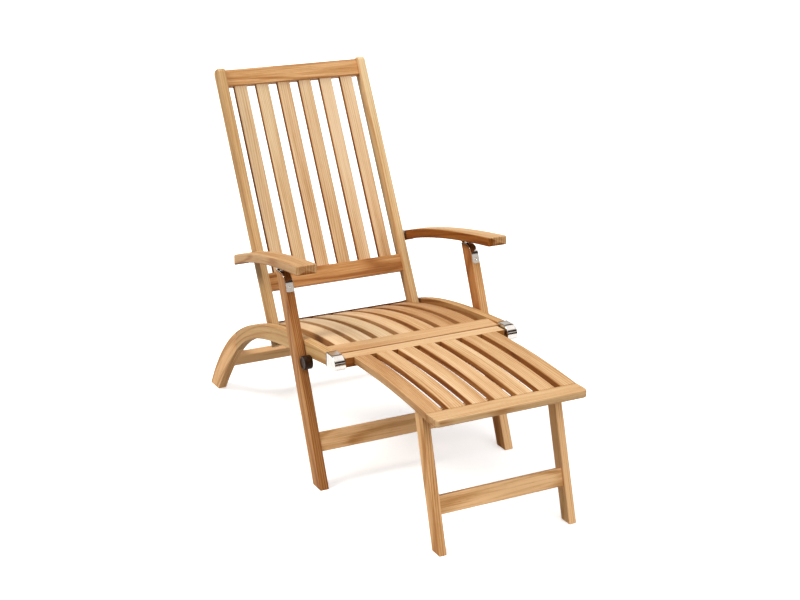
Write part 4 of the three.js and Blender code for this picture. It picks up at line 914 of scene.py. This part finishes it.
# %% Caps
CAP_GROWN, CAP_SHEET, CAP_EDGE, TOE_ROUND = 2.3, 2.0, 2.1, 6.0
cap_radius = NOSE_ROUND + CAP_GROWN
cap_front = NOSE_Y - CAP_GROWN
round_y = NOSE_Y + NOSE_ROUND - cap_radius * np.cos(np.linspace(0.05, math.pi / 2, 26))
cap_y = np.concatenate([round_y, np.linspace(round_y[-1], HEEL_Y, 8)[1:]])
over_round = np.clip(NOSE_Y + NOSE_ROUND - cap_y, 0, cap_radius)
cap_top = NOSE_TOP - NOSE_ROUND + np.sqrt(cap_radius**2 - over_round**2)
under_round = np.clip(TOE_ROUND - (cap_y - cap_front), 0, TOE_ROUND)
toe_lift = TOE_ROUND - np.sqrt(TOE_ROUND**2 - under_round**2)
cap_bottom = nose_bottom(cap_y) - CAP_GROWN + toe_lift


def cap_skin(side, sign):
    """Point (i, j) = middle of slice i plus a rounded rectangle of that slice's height."""
    tall = cap_top - cap_bottom
    wide = np.full(len(cap_y), RAIL[1] - RAIL[0] + 2 * CAP_GROWN)
    radius = np.minimum(CAP_EDGE, ROUND_AT_MOST * tall)
    a, b, _ = ring_offsets(wide, tall, np.tile(radius[:, None], 4))
    x = sign * sum(RAIL) / 2 + a
    y = np.broadcast_to(cap_y[:, None], a.shape)
    z = ((cap_top + cap_bottom) / 2)[:, None] + b
    rings = np.stack([x, y, z], -1)
    points = np.vstack([rings.reshape(-1, 3), rings[0].mean(0)])
    faces = grid_faces(*a.shape, flip=True, closed=(True, False))
    piece = finish_mesh(f"cap_{side}", points, faces, "steel", sheet=CAP_SHEET)
    return stand_for(piece, f"rail_cap_{side}")


for side, sign, *_ in SIDES:
    cap_skin(side, sign)
print("caps", round(cap_top.max() - cap_bottom.min(), 1), "mm tall")

# %% [markdown]
# ## Turned pieces
#
# Screws, rivets and stops are turned on a lathe: a profile of distances along the axis and
# radii goes once round the axis. Where a station of the profile is marked as a hexagon,
# its radius follows one, which makes the socket in the head of a screw.

# %% Turn a profile round an axis
ROUND_COLUMNS = 48


def turned(name, place, way, profile, finish, hexagon=()):
    """Point (i, j) = place + along_i * way + radius_ij * (cos_j * u + sin_j * v).

    radius_ij is radius_i, or for a hexagon radius_i * cos 30 / cos((angle_j mod 60) - 30).
    """
    way = np.asarray(way, float)
    u = np.cross(way, (0, 0, 1) if abs(way[2]) < 0.9 else (0, 1, 0))
    u /= np.linalg.norm(u)
    v = np.cross(way, u)
    angle = np.linspace(0, 2 * math.pi, ROUND_COLUMNS, endpoint=False)
    sixth = math.pi / 3
    hexagonal = math.cos(sixth / 2) / np.cos(angle % sixth - sixth / 2)
    along, radius = np.asarray(profile, float).T
    marked = np.isin(np.arange(len(along)), hexagon)[:, None]
    radii = radius[:, None] * np.where(marked, hexagonal, 1.0)
    rim = np.cos(angle)[:, None] * u + np.sin(angle)[:, None] * v
    rings = np.asarray(place) + along[:, None, None] * way + radii[..., None] * rim
    ends = np.asarray(place) + along[[0, -1], None] * way
    points = np.vstack([rings.reshape(-1, 3), ends])
    faces = grid_faces(len(along), ROUND_COLUMNS, flip=False)
    return finish_mesh(name, points, faces, finish)


def on_body_of(piece, node):
    """A piece of its own that rides with a solid but doesn't stand for one."""
    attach(piece, body_of_node[node])
    return piece


# %% [markdown]
# ## The post straps
#
# A strap is one strip of polished sheet. It is screwed to the front of the post, goes over
# its rounded top and ends in two tongues that are rolled round the rivet of the hinge; the
# leaf under the arm is rolled round it between them. The strip is a flat rounded
# rectangle carried along the strap's middle line, and the tongues are two more.

# %% Straps
STRAP_SIDES, STRAP_FOOT, STRAP_SHEET = (276, 298), 498, 2.0
STRAP_FOOT_ROUND, SHEET_EASE, SHEET_END = 5, 0.5, 0.4
KNUCKLE, KNUCKLE_RADIUS = np.array([61.5, 548.6]), 3.2
TONGUE_GAP = 0.2
# How far before the knuckle the strap ends, and how each tongue rises towards it.
STRAP_END, TONGUE_START = 5, ((-7, 0), (-5, 0.1), (-2.5, 0.7))
strap_off = CLEARANCE + STRAP_SHEET / 2
outward = np.array([-math.cos(lean_turn), math.sin(lean_turn)])
strap_arc = arc((arc_y, arc_z), POST_ROUND + strap_off, start=180 - LEG_LEAN, stop=90, count=24)
strap_foot = (leg_centre(STRAP_FOOT) - half_run, STRAP_FOOT) + strap_off * outward
to_arc = np.linspace(strap_foot, strap_arc[0], 10)[:-1]
level_z = POST_TOP + strap_off
strap_line = np.vstack([to_arc, strap_arc, [[KNUCKLE[0] - STRAP_END, level_z]]])
curl = arc(KNUCKLE, KNUCKLE_RADIUS, start=-90, stop=200, count=40)
tongue_line = np.vstack([np.add((KNUCKLE[0], level_z), TONGUE_START), curl])


def line_normals(line):
    """The direction square to the line on its left hand side."""
    steps = np.gradient(line, axis=0)
    steps /= np.linalg.norm(steps, axis=1)[:, None]
    return np.column_stack([-steps[:, 1], steps[:, 0]])


def strip(name, line, sides, round_end=0.0, stations=60):
    """Sheet along a line in y and z, from side to side; its first end may be rounded."""
    line = spaced(line, stations)
    centres = np.column_stack([np.full(stations, np.mean(sides)), line])
    ups = np.column_stack([np.zeros(stations), line_normals(line)])
    wide = np.full(stations, abs(sides[1] - sides[0]))
    if round_end:
        wide = wide - 2 * corner_pull(run_length(line), round_end)
    return sweep(name, centres, ups, (1, 0, 0), wide, np.full(stations, STRAP_SHEET),
                 SHEET_EASE, (SHEET_END, SHEET_END), "steel", 0)


# Profiles are pairs of distance along the axis and radius.
SCREW = [(-0.5, 3.6), (0.1, 3.6), (0.5, 3.45), (1.0, 3.0), (1.35, 2.4), (1.5, 1.9), (1.4, 1.7),
         (0.5, 1.6), (0.45, 1.2)]
SCREW_SOCKET, SCREW_Z = (6, 7, 8), 508.5
RIVET = [(0, 1.5), (0.3, 1.9), (21.3, 1.9), (21.6, 1.5)]

for side, sign, *_ in SIDES:
    node = f"post_strap_{side}"
    low, high = mirrored(sign, *STRAP_SIDES)
    third = (high - low) / 3
    strap = strip(f"strap_{side}", strap_line, (low, high), round_end=STRAP_FOOT_ROUND)
    stand_for(strap, node)
    tongues = {"low": (low, low + third - TONGUE_GAP), "high": (high - third + TONGUE_GAP, high)}
    for part, between in tongues.items():
        on_body_of(strip(f"strap_tongue_{part}_{side}", tongue_line, between), node)
    rivet = turned(f"rivet_{side}", (low + TONGUE_GAP, *KNUCKLE), (1, 0, 0), RIVET, "steel")
    on_body_of(rivet, node)
    on_strap = (leg_centre(SCREW_Z) - half_run, SCREW_Z) + (CLEARANCE + STRAP_SHEET) * outward
    screw = turned(f"strap_screw_{side}", ((low + high) / 2, *on_strap), (0, *outward), SCREW,
                   "steel", hexagon=SCREW_SOCKET)
    on_body_of(screw, node)
print("strap is", round(run_length(strap_line)[-1]), "mm long")

# %% [markdown]
# ## The leg stops
#
# A stop is a short round roller of dark moulded rubber with eased rims and a shallow
# hollow in its outer face.

# %% Stops
STOP_RADIUS, STOP_INNER, STOP_Z, STOP_GAP = 19, 272.3, 327, 0.5
stop_y = leg_centre(STOP_Z) - half_run - (STOP_RADIUS + STOP_GAP) / math.cos(lean_turn)
STOP_PROFILE = [(0, 17.6), (0.25, 18.3), (0.9, 18.9), (1.6, STOP_RADIUS), (20.4, STOP_RADIUS),
                (21.6, 18.7), (22.5, 17.9), (22.95, 16.6), (23, 15.6), (23, 14.2), (22.6, 13.6),
                (21.9, 13.0), (21.7, 12.2), (21.7, 4.0), (21.9, 3.4), (22.2, 2.0)]
for side, sign, *_ in SIDES:
    stop = turned(f"stop_{side}", (sign * STOP_INNER, stop_y, STOP_Z), (sign, 0, 0),
                  STOP_PROFILE, "dark_stop")
    stand_for(stop, f"leg_stop_{side}")

# %% [markdown]
# ## Steel that is carried over
#
# The pins, the leaf under each arm and the rod of the footrest legs are right as they
# are. They only get a finish, which reads Object coordinates and so needs nothing from
# the mesh. The pins sit in shade between two boards; they and the rod get a steel that is
# duller than the caps' and painted darker, for that shade.

# %% Dress the solids that stay
# Rougher steel, painted dark for the shade that the pins sit in.
finishes["pin_steel_painted_shade"] = worn_finish("dull_steel_painted_shade", (0.16, 0.15, 0.145), (0.30, 0.29, 0.28),
                                    smooth=0.32, rough=0.5, scale=80, relief=0.1, metal=1.0)
CARRIED = {"arm_leaf": "steel", **dict.fromkeys(
    ("back_pin", "arm_pin", "leg_pin", "footrest_pin", "footrest_leg_rod"), "pin_steel_painted_shade")}
for node, solid in frame["nodes"].items():
    for start, finish in CARRIED.items():
        if node.startswith(start):
            for slot in solid.material_slots:
                slot.material = finishes[finish]

# %% [markdown]
# ## The last step
#
# The dressed chair has to stay as large as its solids. Here the view layer is only brought up to
# date.

# %% Bring the scene up to date
bpy.context.view_layer.update()
